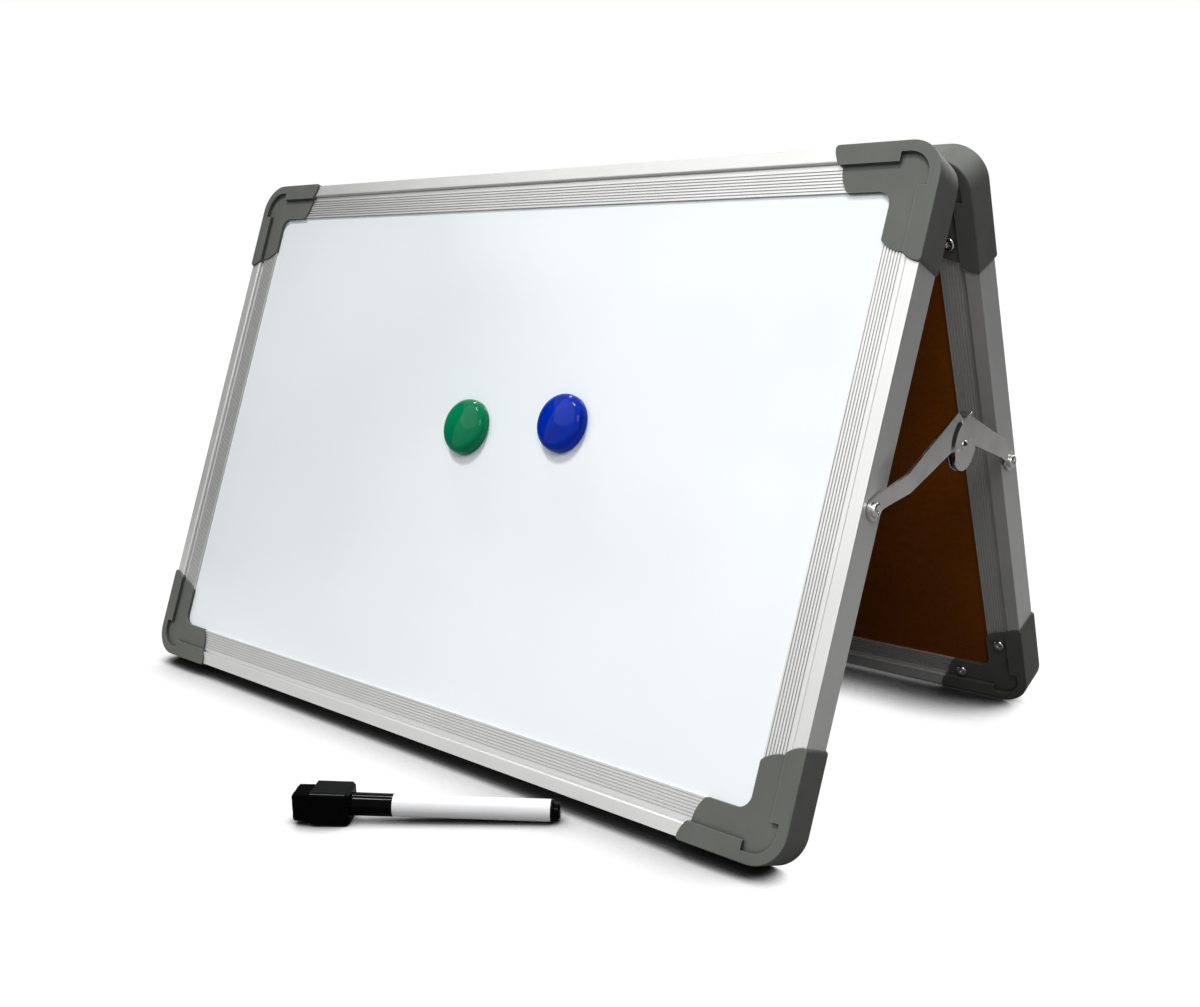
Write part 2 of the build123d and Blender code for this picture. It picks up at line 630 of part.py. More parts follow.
def stay_screw(front, shank):
    """Pan-head pivot screw of the right stay."""
    pivot = STAY_A if front else Vector(STAY_A.X, -STAY_A.Y, STAY_A.Z)
    seat = EYE_GAP + STAY_T
    frame = Plane(origin=(BOARD_W / 2, pivot.Y, pivot.Z), x_dir=(0, 1, 0), z_dir=(1, 0, 0))
    screw = Pos(0, 0, seat) * pan_screw(STAY_SCREW_R, shank, STAY_HEAD_R, STAY_HEAD_H)
    return frame.location * screw


def rivet():
    """Rivet through the knuckle, with a domed head outside and a flat one inside."""
    inner, outer = REAR_HIGH, FRONT_HIGH + STAY_T
    frame = Plane(origin=(BOARD_W / 2, KNUCKLE.Y, KNUCKLE.Z), x_dir=(0, 1, 0), z_dir=(1, 0, 0))
    shank = rod(RIVET_R, outer - inner, (0, 0, inner))
    head = Pos(0, 0, outer) * button(RIVET_HEAD_R, RIVET_HEAD_H * 0.2, RIVET_HEAD_H)
    return frame.location * (shank + head + rod(RIVET_HEAD_R, RIVET_BACK_H, (0, 0, inner - RIVET_BACK_H)))


def knuckle_washer():
    """Friction washer between the two arms."""
    frame = Plane(origin=(BOARD_W / 2, KNUCKLE.Y, KNUCKLE.Z), x_dir=(0, 1, 0), z_dir=(1, 0, 0))
    low = REAR_HIGH + STAY_T
    ring = Cylinder(HEAD_R - WASHER_IN, ARM_GAP, align=(Align.CENTER, Align.CENTER, Align.MIN))
    return frame.location * (Pos(0, 0, low) * ring - rod(RIVET_R + HOLE_FIT, 20))


def stays():
    """Both stays: the left one mirrors the right one."""
    seat_depth = EYE_GAP + STAY_T
    right = {
        "stay_front_arm": front_arm(),
        "stay_rear_arm": placed_rear_arm(),
        "stay_rivet": rivet(),
        "stay_washer": knuckle_washer(),
        "stay_front_screw": stay_screw(True, seat_depth + TUBE_WALL + STAY_SCREW_BITE),
        "stay_rear_screw": stay_screw(False, STAY_T),
    }
    both = {f"{name}_right": shape for name, shape in right.items()}
    both.update({f"{name}_left": mirror(shape, Plane.YZ) for name, shape in right.items()})
    return both


# ---- magnets ----------------------------------------------------------------------------
def dome_arcs():
    """Shoulder and crown of a magnet, which run into each other without a crease."""
    hub = MAGNET_R - MAGNET_SHOULDER_R
    fall = MAGNET_EDGE_H - MAGNET_H
    ball = (MAGNET_SHOULDER_R ** 2 - hub ** 2 - fall ** 2) / (2 * (fall + MAGNET_SHOULDER_R))
    stretch = ball / (ball - MAGNET_SHOULDER_R)
    meet = (stretch * hub, MAGNET_H - ball + stretch * (fall + ball))
    half = atan2(meet[1] - MAGNET_EDGE_H, meet[0] - hub) / 2
    bend = (hub + MAGNET_SHOULDER_R * cos(half), MAGNET_EDGE_H + MAGNET_SHOULDER_R * sin(half))
    return ThreePointArc((MAGNET_R, MAGNET_EDGE_H), bend, meet) + crown_arc(*meet, MAGNET_H)


def magnet(at):
    """Domed plastic button and the ferrite disc in it, on the front sheet."""
    side = Polyline((0, 0), (MAGNET_R - MAGNET_FOOT, 0), (MAGNET_R, MAGNET_FOOT), (MAGNET_R, MAGNET_EDGE_H))
    outline = side + dome_arcs() + Line((0, MAGNET_H), (0, 0))
    dome = revolve(make_face(Plane.XZ * outline), Axis.Z) - rod(FERRITE_R + FERRITE_FIT, FERRITE_T)
    place = Pos(at[0], at[1], SHEET_Z)
    return stand_up(place * dome), stand_up(place * rod(FERRITE_R, FERRITE_T))


# ---- marker, drawn along +X from the eraser's face --------------------------------------
BLOCK_AT = FELT_L
TUBE_AT = BLOCK_AT + BLOCK_L
BARREL_AT = TUBE_AT + CAP_TUBE_L
BARREL_END = BARREL_AT + BARREL_L
NECK_AT = BARREL_AT - NECK_L
BORE_R = NECK_R + NECK_FIT


def along(radius, start, length):
    """Cylinder along the marker's axis."""
    return rod(radius, length, (start, 0, 0), (1, 0, 0))


def marker_cap():
    """Square block for the eraser and a slightly tapered tube, bored for the nib."""
    block = box_between((BLOCK_AT, -BLOCK_SQ / 2, -BLOCK_SQ / 2), (TUBE_AT, BLOCK_SQ / 2, BLOCK_SQ / 2))
    block = fillet(block.edges().filter_by(Axis.X), BLOCK_ROUND)
    block = chamfer(block.faces().sort_by(Axis.X)[-1].edges(), BLOCK_BEVEL)
    taper = Cone(CAP_TUBE_R, CAP_MOUTH_R, CAP_TUBE_L, align=(Align.CENTER, Align.CENTER, Align.MIN))
    tube = Plane(origin=(TUBE_AT, 0, 0), z_dir=(1, 0, 0)).location * taper
    return block + tube - along(BORE_R, BARREL_AT - CAP_BORE_L, CAP_BORE_L + 1)


def eraser_felt():
    """Felt pad glued to the block."""
    half = FELT_SQ / 2
    pad = box_between((0, -half, -half), (FELT_L, half, half))
    pad = fillet(pad.edges().filter_by(Axis.X), FELT_ROUND)
    return chamfer(pad.faces().sort_by(Axis.X)[0].edges(), FELT_BEVEL)


def marker_barrel():
    """Barrel with the neck that the cap grips."""
    bore = BARREL_R - BARREL_WALL
    body = along(BARREL_R, BARREL_AT, BARREL_L) + along(NECK_R, NECK_AT, NECK_L + 1)
    return body - along(bore, BARREL_AT + BORE_START, BARREL_L) - along(HOLDER_R, NECK_AT - 1, NECK_L + 4)


def end_plug():
    """Stepped plug in the barrel's end."""
    bore = BARREL_R - BARREL_WALL
    plug = along(bore, BARREL_END - PLUG_IN, PLUG_IN) + along(BARREL_R, BARREL_END, PLUG_FLANGE_L)
    tip = along(PLUG_TIP_R, BARREL_END + PLUG_FLANGE_L, PLUG_TIP_L)
    return plug + chamfer(tip.edges().sort_by(Axis.X)[-1], PLUG_BEVEL)


def marker_inside():
    """Nib, its holder and the ink reservoir."""
    holder_at = NECK_AT - HOLDER_OUT
    holder = along(HOLDER_R, holder_at, HOLDER_L) - along(NIB_R, holder_at - 1, HOLDER_L + 2)
    tip = holder_at - NIB_OUT + NIB_R
    nib = along(NIB_R, tip, holder_at + HOLDER_L - tip) + Pos(tip, 0, 0) * Sphere(NIB_R)
    ink = along(INK_R, holder_at + HOLDER_L, INK_L)
    return {"marker_nib_holder": holder, "marker_nib": nib, "marker_ink_reservoir": ink}


def marker():
    """The marker as it lies on the desk: on its block's edge and its barrel's end."""
    drop = BLOCK_SQ / 2 - BARREL_R
    edge = TUBE_AT - BLOCK_BEVEL
    tilt = atan2(drop, BARREL_END + PLUG_FLANGE_L - edge)
    rise = edge * sin(tilt) + BLOCK_SQ / 2 * cos(tilt)
    place = Pos(MARKER_X, BASE.Y - MARKER_OUT, rise) * Rot(0, 0, MARKER_TURN) * Rot(0, degrees(tilt), 0)
    pieces = {"marker_cap": marker_cap(), "marker_eraser_felt": eraser_felt(),
              "marker_barrel": marker_barrel(), "marker_end_plug": end_plug(), **marker_inside()}
    return {name: place * shape for name, shape in pieces.items()}


# ---- everything -------------------------------------------------------------------------
def easel():
    """All nodes by name."""
    nodes = {}
    for name, shape in board().items():
        nodes[f"front_{name}"] = shape
        nodes[f"rear_{name}"] = mirror(shape, Plane.XZ)
    for side, x in (("left", -HINGE_X), ("right", HINGE_X)):
        nodes[f"front_hinge_leaf_{side}"] = stand_up(Pos(x, 0, 0) * hinge_leaf(True))
        nodes[f"rear_hinge_leaf_{side}"] = mirror(stand_up(Pos(x, 0, 0) * hinge_leaf(False)), Plane.XZ)
        nodes[f"hinge_pin_{side}"] = hinge_pin(x)
    nodes["front_hinge_screws"] = stand_up(hinge_screws())
    nodes["rear_hinge_screws"] = mirror(stand_up(hinge_screws()), Plane.XZ)
    nodes.update(stays())
    for colour, at in (("green", GREEN_AT), ("blue", BLUE_AT)):
        dome, disc = magnet(at)
        nodes[f"magnet_{colour}_button"] = dome
        nodes[f"magnet_{colour}_disc"] = disc
    nodes.update(marker())
    return nodes


def main():
    os.makedirs("parts", exist_ok=True)
    nodes = easel()
    for name, shape in nodes.items():
        export_step(shape, f"parts/{name}.step")
    radius = hypot(AXIS.Y - STAY_A.Y, AXIS.Z - STAY_A.Z)
    shut = AXIS_OUT + RAIL_T / 2
    print(f"{len(nodes)} nodes; hinge axis z {AXIS.Z:.3f}, stay pivot y {STAY_A.Y:.3f} z {STAY_A.Z:.3f}, "
          f"knuckle z {KNUCKLE.Z:.3f}, pivot to axis {radius:.3f}")
    open_half, shut_half = degrees(acos(-STAY_A.Y / STAY_ARM)), degrees(acos(shut / STAY_ARM))
    print(f"arm rises {open_half:.3f} deg open and {shut_half:.3f} deg folded")


if __name__ == "__main__":
    main()
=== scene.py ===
"""Looks of the folding desk whiteboard easel: studio, finishes and the pieces modelled for it.

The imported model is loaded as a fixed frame, in metres: +Z is up, the front board faces -Y and the
easel stands on z = 0.  Each sub-assembly is a class that dresses its nodes and models its pieces.
"""
import contextlib
import logging
from collections.abc import Callable, Iterator, Sequence
from dataclasses import dataclass, replace
from enum import Enum
from math import cos, pi, radians, sin

import bmesh
import bpy
from mathutils import Matrix, Vector


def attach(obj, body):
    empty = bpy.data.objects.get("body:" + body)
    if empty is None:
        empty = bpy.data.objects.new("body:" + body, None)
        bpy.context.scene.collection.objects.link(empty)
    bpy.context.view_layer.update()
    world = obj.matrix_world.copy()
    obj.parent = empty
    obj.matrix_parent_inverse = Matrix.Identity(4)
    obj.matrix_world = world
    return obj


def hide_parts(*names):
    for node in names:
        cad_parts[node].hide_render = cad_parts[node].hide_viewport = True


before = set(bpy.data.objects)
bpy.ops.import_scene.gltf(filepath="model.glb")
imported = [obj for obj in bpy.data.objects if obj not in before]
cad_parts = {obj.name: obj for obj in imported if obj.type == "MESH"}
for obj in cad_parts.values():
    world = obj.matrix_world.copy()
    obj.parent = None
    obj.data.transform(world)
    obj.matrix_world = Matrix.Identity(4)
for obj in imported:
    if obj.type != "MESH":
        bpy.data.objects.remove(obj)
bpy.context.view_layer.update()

log = logging.getLogger("easel")

MM = 0.001
LEAN = radians(22.65)         # each board leans back by this much
FACING = 0.9                  # a face whose normal has more than this along an axis looks that way
WHITE = (1.0, 1.0, 1.0, 1.0)
Colour = tuple[float, float, float, float]
Triple = tuple[float, float, float]


def colour(red: int, green: int, blue: int) -> Colour:
    """Screen colour as the linear colour that a shader takes.

    Args:
        red: Red from 0 to 255.
        green: Green from 0 to 255.
        blue: Blue from 0 to 255.

    Returns:
        Linear red, green, blue and an alpha of one.
    """
    def linear(level: int) -> float:
        """One channel, from its screen level."""
        share = level / 255
        return share / 12.92 if share <= 0.04045 else ((share + 0.055) / 1.055) ** 2.4

    return linear(red), linear(green), linear(blue), 1.0


def bearing(azimuth: float, elevation: float) -> Vector:
    """Direction from the easel to a place round it.

    Args:
        azimuth: Degrees from the front towards the right.
        elevation: Degrees above the horizon.

    Returns:
        Direction, one long.
    """
    az, el = radians(azimuth), radians(elevation)
    return Vector((sin(az) * cos(el), -cos(az) * cos(el), sin(el)))


class Side(Enum):
    """The two boards."""

    FRONT = "front"
    REAR = "rear"

    @property
    def sign(self) -> int:
        """Minus one where the board stands towards -Y."""
        return -1 if self is Side.FRONT else 1

    @property
    def body(self) -> str:
        """Body that the board's pieces ride on."""
        return f"{self.value}_board"


class Hand(Enum):
    """Ends of the easel, as seen from the front."""

    LEFT = "left"
    RIGHT = "right"

    @property
    def sign(self) -> int:
        """Minus one at the -X end."""
        return -1 if self is Hand.LEFT else 1


class Draw(Enum):
    """Direction that a rail was drawn in."""

    ACROSS = "across"
    UPRIGHT = "upright"


# ---- shader sums ----
class Wire:
    """Output socket that takes part in Python sums; each sum adds its Math node."""

    def __init__(self, bench: "Bench", socket: bpy.types.NodeSocket | None) -> None:
        """Keeps the socket and the bench that it belongs to."""
        self.bench = bench
        self.socket = socket

    def _sum(self, operation: str, first: "Wire | float", second: "Wire | float") -> "Wire":
        """Math node on two values."""
        return self.bench.node("ShaderNodeMath", {"operation": operation}, {0: first, 1: second})

    def __add__(self, other: "Wire | float") -> "Wire":
        """Sum."""
        return self._sum("ADD", self, other)

    __radd__ = __add__

    def __sub__(self, other: "Wire | float") -> "Wire":
        """Difference."""
        return self._sum("SUBTRACT", self, other)

    def __rsub__(self, other: float) -> "Wire":
        """Difference from a number."""
        return self._sum("SUBTRACT", other, self)

    def __mul__(self, other: "Wire | float") -> "Wire":
        """Product."""
        return self._sum("MULTIPLY", self, other)

    __rmul__ = __mul__

    def __pow__(self, other: float) -> "Wire":
        """Power."""
        return self._sum("POWER", self, other)

    def at_most_one(self) -> "Wire":
        """The value, held to one."""
        return self._sum("MINIMUM", self, 1.0)


class Bench:
    """Node tree of one material or world, with one way to add a node."""

    def __init__(self, tree: bpy.types.NodeTree) -> None:
        """Empties the tree.

        Args:
            tree: Node tree to build in.
        """
        self.tree = tree
        tree.nodes.clear()

    def node(self, kind: str, settings: dict | None = None, inputs: dict | None = None,
             output: int | str = 0) -> Wire:
        """Adds a node.

        Args:
            kind: Type of the node.
            settings: Properties that are set first; "stops" gives a ramp's two grey stops.
            inputs: Value or wire for each input, by name or number.
            output: Output that the wire stands for.

        Returns:
            The output as a wire.
        """
        made = self.tree.nodes.new(kind)
        for name, value in (settings or {}).items():
            if name == "stops":
                for element, (place, level) in zip(made.color_ramp.elements, value):
                    element.position = place
                    element.color = (level, level, level, 1.0)
            else:
                setattr(made, name, value)
        for name, value in (inputs or {}).items():
            if isinstance(value, Wire):
                self.tree.links.new(value.socket, made.inputs[name])
            else:
                made.inputs[name].default_value = value
        return Wire(self, made.outputs[output] if len(made.outputs) else None)

    def noise(self, cell: float | Triple, turn: float = 0.0, detail: float = 2.0,
              rough: float = 0.5) -> Wire:
        """Noise on the object's coordinates, from nought to one.

        Args:
            cell: Size of its cell, or its size along each axis, in metres.
            turn: Turn about X, in radians.
            detail: Steps of finer noise.
            rough: Share of each finer step.

        Returns:
            Wire of the noise.
        """
        sizes = (cell,) * 3 if isinstance(cell, float) else cell
        raw = self.node("ShaderNodeTexCoord", output="Object")
        place = self.node("ShaderNodeMapping", {"vector_type": "TEXTURE"},
                          {"Vector": raw, "Rotation": (turn, 0.0, 0.0), "Scale": sizes})
        return self.node("ShaderNodeTexNoise", None,
                         {"Vector": place, "Scale": 1.0, "Detail": detail, "Roughness": rough})

    def blend(self, first: Wire, second: Wire, share: float) -> Wire:
        """Two patterns in one, by the share of the first."""
        return first * share + second * (1 - share)

    def ramp(self, value: Wire, *stops: tuple[float, float]) -> Wire:
        """Grey ramp over a value, between two stops."""
        return self.node("ShaderNodeValToRGB", {"stops": stops}, {0: value})

    def rise(self, value: Wire, start: float, end: float) -> Wire:
        """Mask that goes from nought to one while a value goes from start to end."""
        return self.ramp(value, (start, 0.0), (end, 1.0))

    def mix(self, mask: Wire, low: Colour | Wire, high: Colour | Wire) -> Wire:
        """Colour that goes from one to another with a mask."""
        return self.node("ShaderNodeMix", {"data_type": "RGBA"}, {0: mask, 6: low, 7: high}, 2)

    def bump(self, height: Wire, distance: float, strength: float = 1.0) -> Wire:
        """Normal from a height that is counted in distances."""
        return self.node("ShaderNodeBump", None,
                         {"Height": height, "Distance": distance, "Strength": strength})

    def edges(self, reach: float) -> Wire:
        """Mask of the edges, from how far a rounded normal leans from the true one.

        Args:
            reach: Radius of the round, in metres.

        Returns:
            One along an edge and nought on the flats.
        """
        rounded = self.node("ShaderNodeBevel", {"samples": 6}, {"Radius": reach})
        true = self.node("ShaderNodeNewGeometry", output="True Normal")
        lean = self.node("ShaderNodeVectorMath", {"operation": "DOT_PRODUCT"},
                         {0: rounded, 1: true}, "Value")
        return self.rise(1.0 - lean, 0.03, 0.25)

    def corners(self, reach: float) -> Wire:
        """Mask of the inner corners, from ambient occlusion; it carries painted shade.

        Args:
            reach: How far out of a corner it spreads, in metres.

        Returns:
            One deep in a corner and nought in the open.
        """
        free = self.node("ShaderNodeAmbientOcclusion", {"samples": 6}, {"Distance": reach}, "AO")
        return self.ramp(free, (0.35, 1.0), (0.95, 0.0))

    def finish(self, constants: dict[str, float], tint: Wire, rough: Wire, normal: Wire) -> None:
        """Ends the material in a Principled shader.

        Args:
            constants: Values that are the same all over, by the name of their socket.
            tint: Base colour.
            rough: Roughness.
            normal: Normal, from a bump.
        """
        shader = self.node("ShaderNodeBsdfPrincipled", None,
                           {**constants, "Base Color": tint, "Roughness": rough, "Normal": normal})
        self.node("ShaderNodeOutputMaterial", None, {"Surface": shader})


# ---- finishes: patterns and depths in metres ----
@dataclass(frozen=True)
class Finish:
    """Base of the finishes: makes each material once, and ends it the same way."""

    name: str
    tone: Colour
    dark: Colour
    rough: float = 0.5
    rough_span: float = 0.1
    shine: float = 0.5
    depth: float = 0.00004
    strength: float = 0.6

    def material(self) -> bpy.types.Material:
        """The finish as a material.

        Returns:
            The material, made on the first call.
        """
        known = bpy.data.materials.get(self.name)
        if known:
            return known
        made = bpy.data.materials.new(self.name)
        made.use_nodes = True
        self.paint(Bench(made.node_tree))
        return made

    def paint(self, bench: Bench) -> None:
        """Builds the nodes."""
        raise NotImplementedError

    def end(self, bench: Bench, tint: Wire, gloss: Wire, relief: Wire, **constants: float) -> None:
        """Ends the material.

        Args:
            bench: Node tree of the material.
            tint: Base colour.
            gloss: Pattern that the roughness rises with.
            relief: Pattern of the bump.
            constants: More values that are the same all over, by socket.
        """
        plain = {"Specular IOR Level": self.shine}
        plain.update({name.replace("_", " "): value for name, value in constants.items()})
        bench.finish(plain, tint, self.rough + gloss * self.rough_span,
                     bench.bump(relief, self.depth, self.strength))


@dataclass(frozen=True)
class Anodised(Finish):
    """Satin anodised aluminium with fine draw lines along the rail and painted shade in its
    grooves.
    """

    side: Side = Side.FRONT
    draw: Draw = Draw.ACROSS
    metallic: float = 0.42
    # painted shade: darker colour in the rib grooves and inner corners, from ambient occlusion
    painted_groove_shade: Colour = colour(96, 95, 93)
    painted_groove_shade_share: float = 0.42
    groove: float = 0.0009
    line_long: float = 0.070
    line_fine: float = 0.00022
    cloud: float = 0.030

    @classmethod
    def rail(cls, side: Side, draw: Draw) -> "Anodised":
        """Finish of one board's rails, whose lines lean as the board does.

        Args:
            side: The board.
            draw: Way that the rail was drawn.

        Returns:
            The finish.
        """
        return cls(f"rail_aluminium_{side.value}_{draw.value}", colour(209, 209, 208),
                   colour(195, 195, 194), rough=0.30, rough_span=0.16, depth=0.000012,
                   side=side, draw=draw)

    def paint(self, bench: Bench) -> None:
        """Lines run along X, or up the lean of the board.

        Args:
            bench: Node tree of the material.
        """
        cell = (self.line_long, self.line_fine, self.line_fine)
        if self.draw is Draw.UPRIGHT:
            cell = (self.line_fine, self.line_long, self.line_fine)
        lean = pi / 2 + self.side.sign * LEAN
        lines = bench.noise(cell, turn=lean, detail=3.0, rough=0.6)
        patches = bench.rise(bench.blend(lines, bench.noise(self.cloud), share=0.7), 0.3, 0.7)
        tint = bench.mix(patches, self.dark, self.tone)
        # Painted shade: ambient occlusion darkens the grooves and inner corners.
        tint = bench.mix(bench.corners(self.groove) * self.painted_groove_shade_share, tint, self.painted_groove_shade)
        self.end(bench, tint, lines, lines, Metallic=self.metallic)


@dataclass(frozen=True)
class Moulded(Finish):
    """Matt moulded plastic with a fine spark-eroded grain."""

    rough: float = 0.44
    rough_span: float = 0.16
    shine: float = 0.24
    depth: float = 0.00002
    strength: float = 0.7
    # painted highlight: lighter colour along the edges, where their rounds would catch light
    painted_edge_highlight: Colour = colour(150, 150, 148)
    grain: float = 0.00035
    flow: Triple = (0.016, 0.016, 0.030)
    edge: float = 0.00045
    painted_edge_highlight_share: float = 0.7
    # painted shade: darker colour in the inner corners, from ambient occlusion
    painted_corner_shade: Colour = colour(40, 40, 40)
    painted_corner_shade_reach: float = 0.0022
    painted_corner_shade_share: float = 0.75

    def paint(self, bench: Bench) -> None:
        """Grain in the bump, faint flow marks in the colour, a painted highlight on the edges and
        painted shade in the inner corners.

        Args:
            bench: Node tree of the material.
        """
        grain = bench.noise(self.grain, rough=0.7)
        flow = bench.noise(self.flow, detail=3.0)
        marks = bench.rise(bench.blend(flow, grain, share=0.6), 0.32, 0.68)
        tint = bench.mix(marks, self.dark, self.tone)
        # Painted highlight: the edges are lightened where their rounds would catch light.
        tint = bench.mix(bench.edges(self.edge) * self.painted_edge_highlight_share, tint, self.painted_edge_highlight)
        # Painted shade: ambient occlusion darkens the inner corners.
        tint = bench.mix(bench.corners(self.painted_corner_shade_reach) * self.painted_corner_shade_share, tint, self.painted_corner_shade)
        self.end(bench, tint, grain, grain)


@dataclass(frozen=True)
class Lacquered(Finish):
    """White enamelled steel sheet: glossy, with a trace of orange peel."""

    cloud: Triple = (0.19, 0.13, 0.13)
    wipe: Triple = (0.090, 0.012, 0.012)
    peel: float = 0.0016

    def paint(self, bench: Bench) -> None:
        """Broad cool clouds, orange peel, and wiped streaks in the gloss.

        Args:
            bench: Node tree of the material.
        """
        clouds = bench.rise(bench.noise(self.cloud), 0.35, 0.65)
        wipe = bench.noise(self.wipe, turn=0.5, detail=3.0)
        peel = bench.noise(self.peel, detail=1.0)
        self.end(bench, bench.mix(clouds, self.dark, self.tone), wipe, peel)


@dataclass(frozen=True)
class Hardboard(Finish):
    """Brown hardboard: pressed fibres with darker flecks."""

    fleck: Colour = colour(78, 38, 6)
    fleck_size: float = 0.0011
    fleck_share: float = 0.55
    fibre_one: Triple = (0.0060, 0.0007, 0.0007)
    fibre_two: Triple = (0.0007, 0.0050, 0.0020)
    cloud: float = 0.060

    def paint(self, bench: Bench) -> None:
        """Fibres lie every way, so two stretched noises cross.

        Args:
            bench: Node tree of the material.
        """
        one = bench.noise(self.fibre_one, turn=0.4, detail=4.0, rough=0.6)
        two = bench.noise(self.fibre_two, turn=1.1, detail=4.0, rough=0.6)
        cloud = bench.noise(self.cloud, detail=3.0)
        fibres = bench.rise(bench.blend(one, two, share=0.5), 0.36, 0.62)
        patches = bench.rise(bench.blend(cloud, fibres, share=0.6), 0.2, 0.8)
        flecks = bench.rise(bench.noise(self.fleck_size, rough=0.8), 0.60, 0.70)
        tint = bench.mix(patches, self.dark, self.tone)
        tint = bench.mix(flecks * self.fleck_share, tint, self.fleck)
        self.end(bench, tint, fibres, fibres)


@dataclass(frozen=True)
class Plated(Finish):
    """Nickel or zinc plated steel with rolling lines and a few scratches."""

    rough_span: float = 0.08
    depth: float = 0.00001
    strength: float = 0.4
    line: Triple = (0.00020, 0.030, 0.0006)
    scratch: Triple = (0.0003, 0.016, 0.0009)
    cloud: float = 0.008
    rough_cloud: float = 0.06
    line_share: float = 0.7
    scratch_share: float = 0.2

    def paint(self, bench: Bench) -> None:
        """Fine lines, cloudy dullness and thin scratches across the lines.

        Args:
            bench: Node tree of the material.
        """
        lines = bench.noise(self.line, turn=0.6, detail=3.0, rough=0.6)
        cloud = bench.noise(self.cloud, detail=3.0)
        scratch = bench.rise(bench.noise(self.scratch, turn=-0.9), 0.70, 0.78)
        patches = bench.rise(bench.blend(cloud, lines, share=0.7), 0.3, 0.7)
        rough = self.rough + lines * self.rough_span + cloud * self.rough_cloud
        relief = lines * self.line_share + scratch * self.scratch_share
        bench.finish({"Metallic": 1.0}, bench.mix(patches, self.dark, self.tone),
                     rough + scratch * self.rough_span,
                     bench.bump(relief, self.depth, self.strength))


@dataclass(frozen=True)
class Glossy(Finish):
    """Polished plastic with faint moulding flow and a dusting of fine scratches."""

    rough: float = 0.03
    rough_span: float = 0.07
    shine: float = 0.10
    strength: float = 0.3
    flow: float = 0.012
    haze: Triple = (0.0012, 0.0040, 0.0012)

    def paint(self, bench: Bench) -> None:
        """Colour hardly varies; the gloss does.

        Args:
            bench: Node tree of the material.
        """
        flow = bench.noise(self.flow)
        haze = bench.noise(self.haze, turn=0.8, detail=3.0, rough=0.7)
        tint = bench.mix(bench.rise(flow, 0.35, 0.65), self.dark, self.tone)
        self.end(bench, tint, haze, flow)


@dataclass(frozen=True)
class Felted(Finish):
    """Pressed wool."""

    fibre_one: Triple = (0.0009, 0.00025, 0.00025)
    fibre_two: Triple = (0.00025, 0.0009, 0.0004)
    sheen: float = 0.006

    def paint(self, bench: Bench) -> None:
        """Tangled fibres with a little marker dust.

        Args:
            bench: Node tree of the material.
        """
        one = bench.noise(self.fibre_one, turn=0.7, detail=4.0, rough=0.7)
        two = bench.noise(self.fibre_two, turn=-0.5, detail=4.0, rough=0.7)
        tangle = bench.rise(bench.blend(one, two, share=0.5), 0.35, 0.65)
        tint = bench.mix(tangle ** 2.0, self.dark, self.tone)
        self.end(bench, tint, tangle, tangle, Sheen_Weight=self.sheen, Sheen_Roughness=0.6)


@dataclass(frozen=True)
class Grained(Finish):
    """One pattern in colour, gloss and bump: pressed fibres, wrinkled film, grit or strands."""

    cell: float | Triple = 0.001
    detail: float = 3.0
    grain: float = 0.6
    contrast: tuple[float, float] | None = None

    def paint(self, bench: Bench) -> None:
        """The pattern, sharpened in the colour where it has a contrast.

        Args:
            bench: Node tree of the material.
        """
        pattern = bench.noise(self.cell, detail=self.detail, rough=self.grain)
        mask = bench.rise(pattern, *self.contrast) if self.contrast else pattern
        self.end(bench, bench.mix(mask, self.dark, self.tone), pattern, pattern)


CAP = Moulded("cap_grey", colour(96, 98, 93), colour(86, 88, 83))
# The washer's edges carry the same painted highlight, and its corners the same painted shade, in
# dark greys.
MATT_BLACK = Moulded("washer_black", colour(26, 26, 27), colour(18, 18, 19), rough=0.34,
                     painted_edge_highlight=colour(40, 40, 40))
SHEET = Lacquered("sheet_white", colour(234, 239, 241), colour(227, 233, 236), rough=0.14,
                  rough_span=0.10, depth=0.000004, strength=0.5)
BACK = Hardboard("hardboard_brown", colour(132, 72, 14), colour(108, 54, 6), rough=0.50,
                 rough_span=0.18, shine=0.12, strength=0.5)
CORE = Grained("core_board", colour(176, 150, 112), colour(140, 114, 80), rough=0.82,
               rough_span=0.15, shine=0.2, depth=0.0002, cell=(0.0030, 0.0008, 0.0008),
               detail=4.0, grain=0.7, contrast=(0.35, 0.65))
STAY = Plated("stay_nickel", colour(218, 217, 215), colour(194, 193, 191), rough=0.11)
FASTENER = Plated("fastener_bright", colour(226, 226, 224), colour(188, 188, 186), rough=0.14,
                  line=(0.0004, 0.0004, 0.0004))
HINGE = Plated("hinge_zinc", colour(158, 160, 163), colour(126, 128, 131), rough=0.30,
               line=(0.030, 0.0003, 0.0006))
GREEN = Glossy("magnet_green", colour(2, 122, 80), colour(1, 112, 72))
BLUE = Glossy("magnet_blue", colour(0, 46, 168), colour(0, 38, 150))
BLACK = Glossy("marker_black", colour(3, 3, 3), colour(1, 1, 1), rough=0.04, shine=0.04)
HOLDER = Glossy("holder_white", colour(226, 226, 222), colour(214, 214, 210), rough=0.25)
BARREL = Grained("barrel_white", colour(232, 232, 233), colour(220, 220, 222), rough=0.30,
                 rough_span=0.12, shine=0.45, depth=0.0001, strength=0.35,
                 cell=(0.030, 0.022, 0.0012))
FELT = Felted("eraser_black", colour(12, 12, 13), colour(3, 3, 3), rough=0.90, shine=0.01,
              depth=0.0002, strength=0.8)
MAGNET_CORE = Grained("ferrite_dark", colour(70, 70, 72), colour(38, 38, 40), rough=0.55,
                      rough_span=0.25, shine=0.4, cell=0.0004, grain=0.8)
INK = Grained("ink_fibre", colour(60, 60, 66), colour(16, 16, 20), rough=0.72, rough_span=0.2,
              shine=0.3, depth=0.00006, cell=(0.0040, 0.0040, 0.00015))
NIB = replace(INK, name="nib_fibre", tone=colour(34, 34, 38), dark=colour(10, 10, 12))


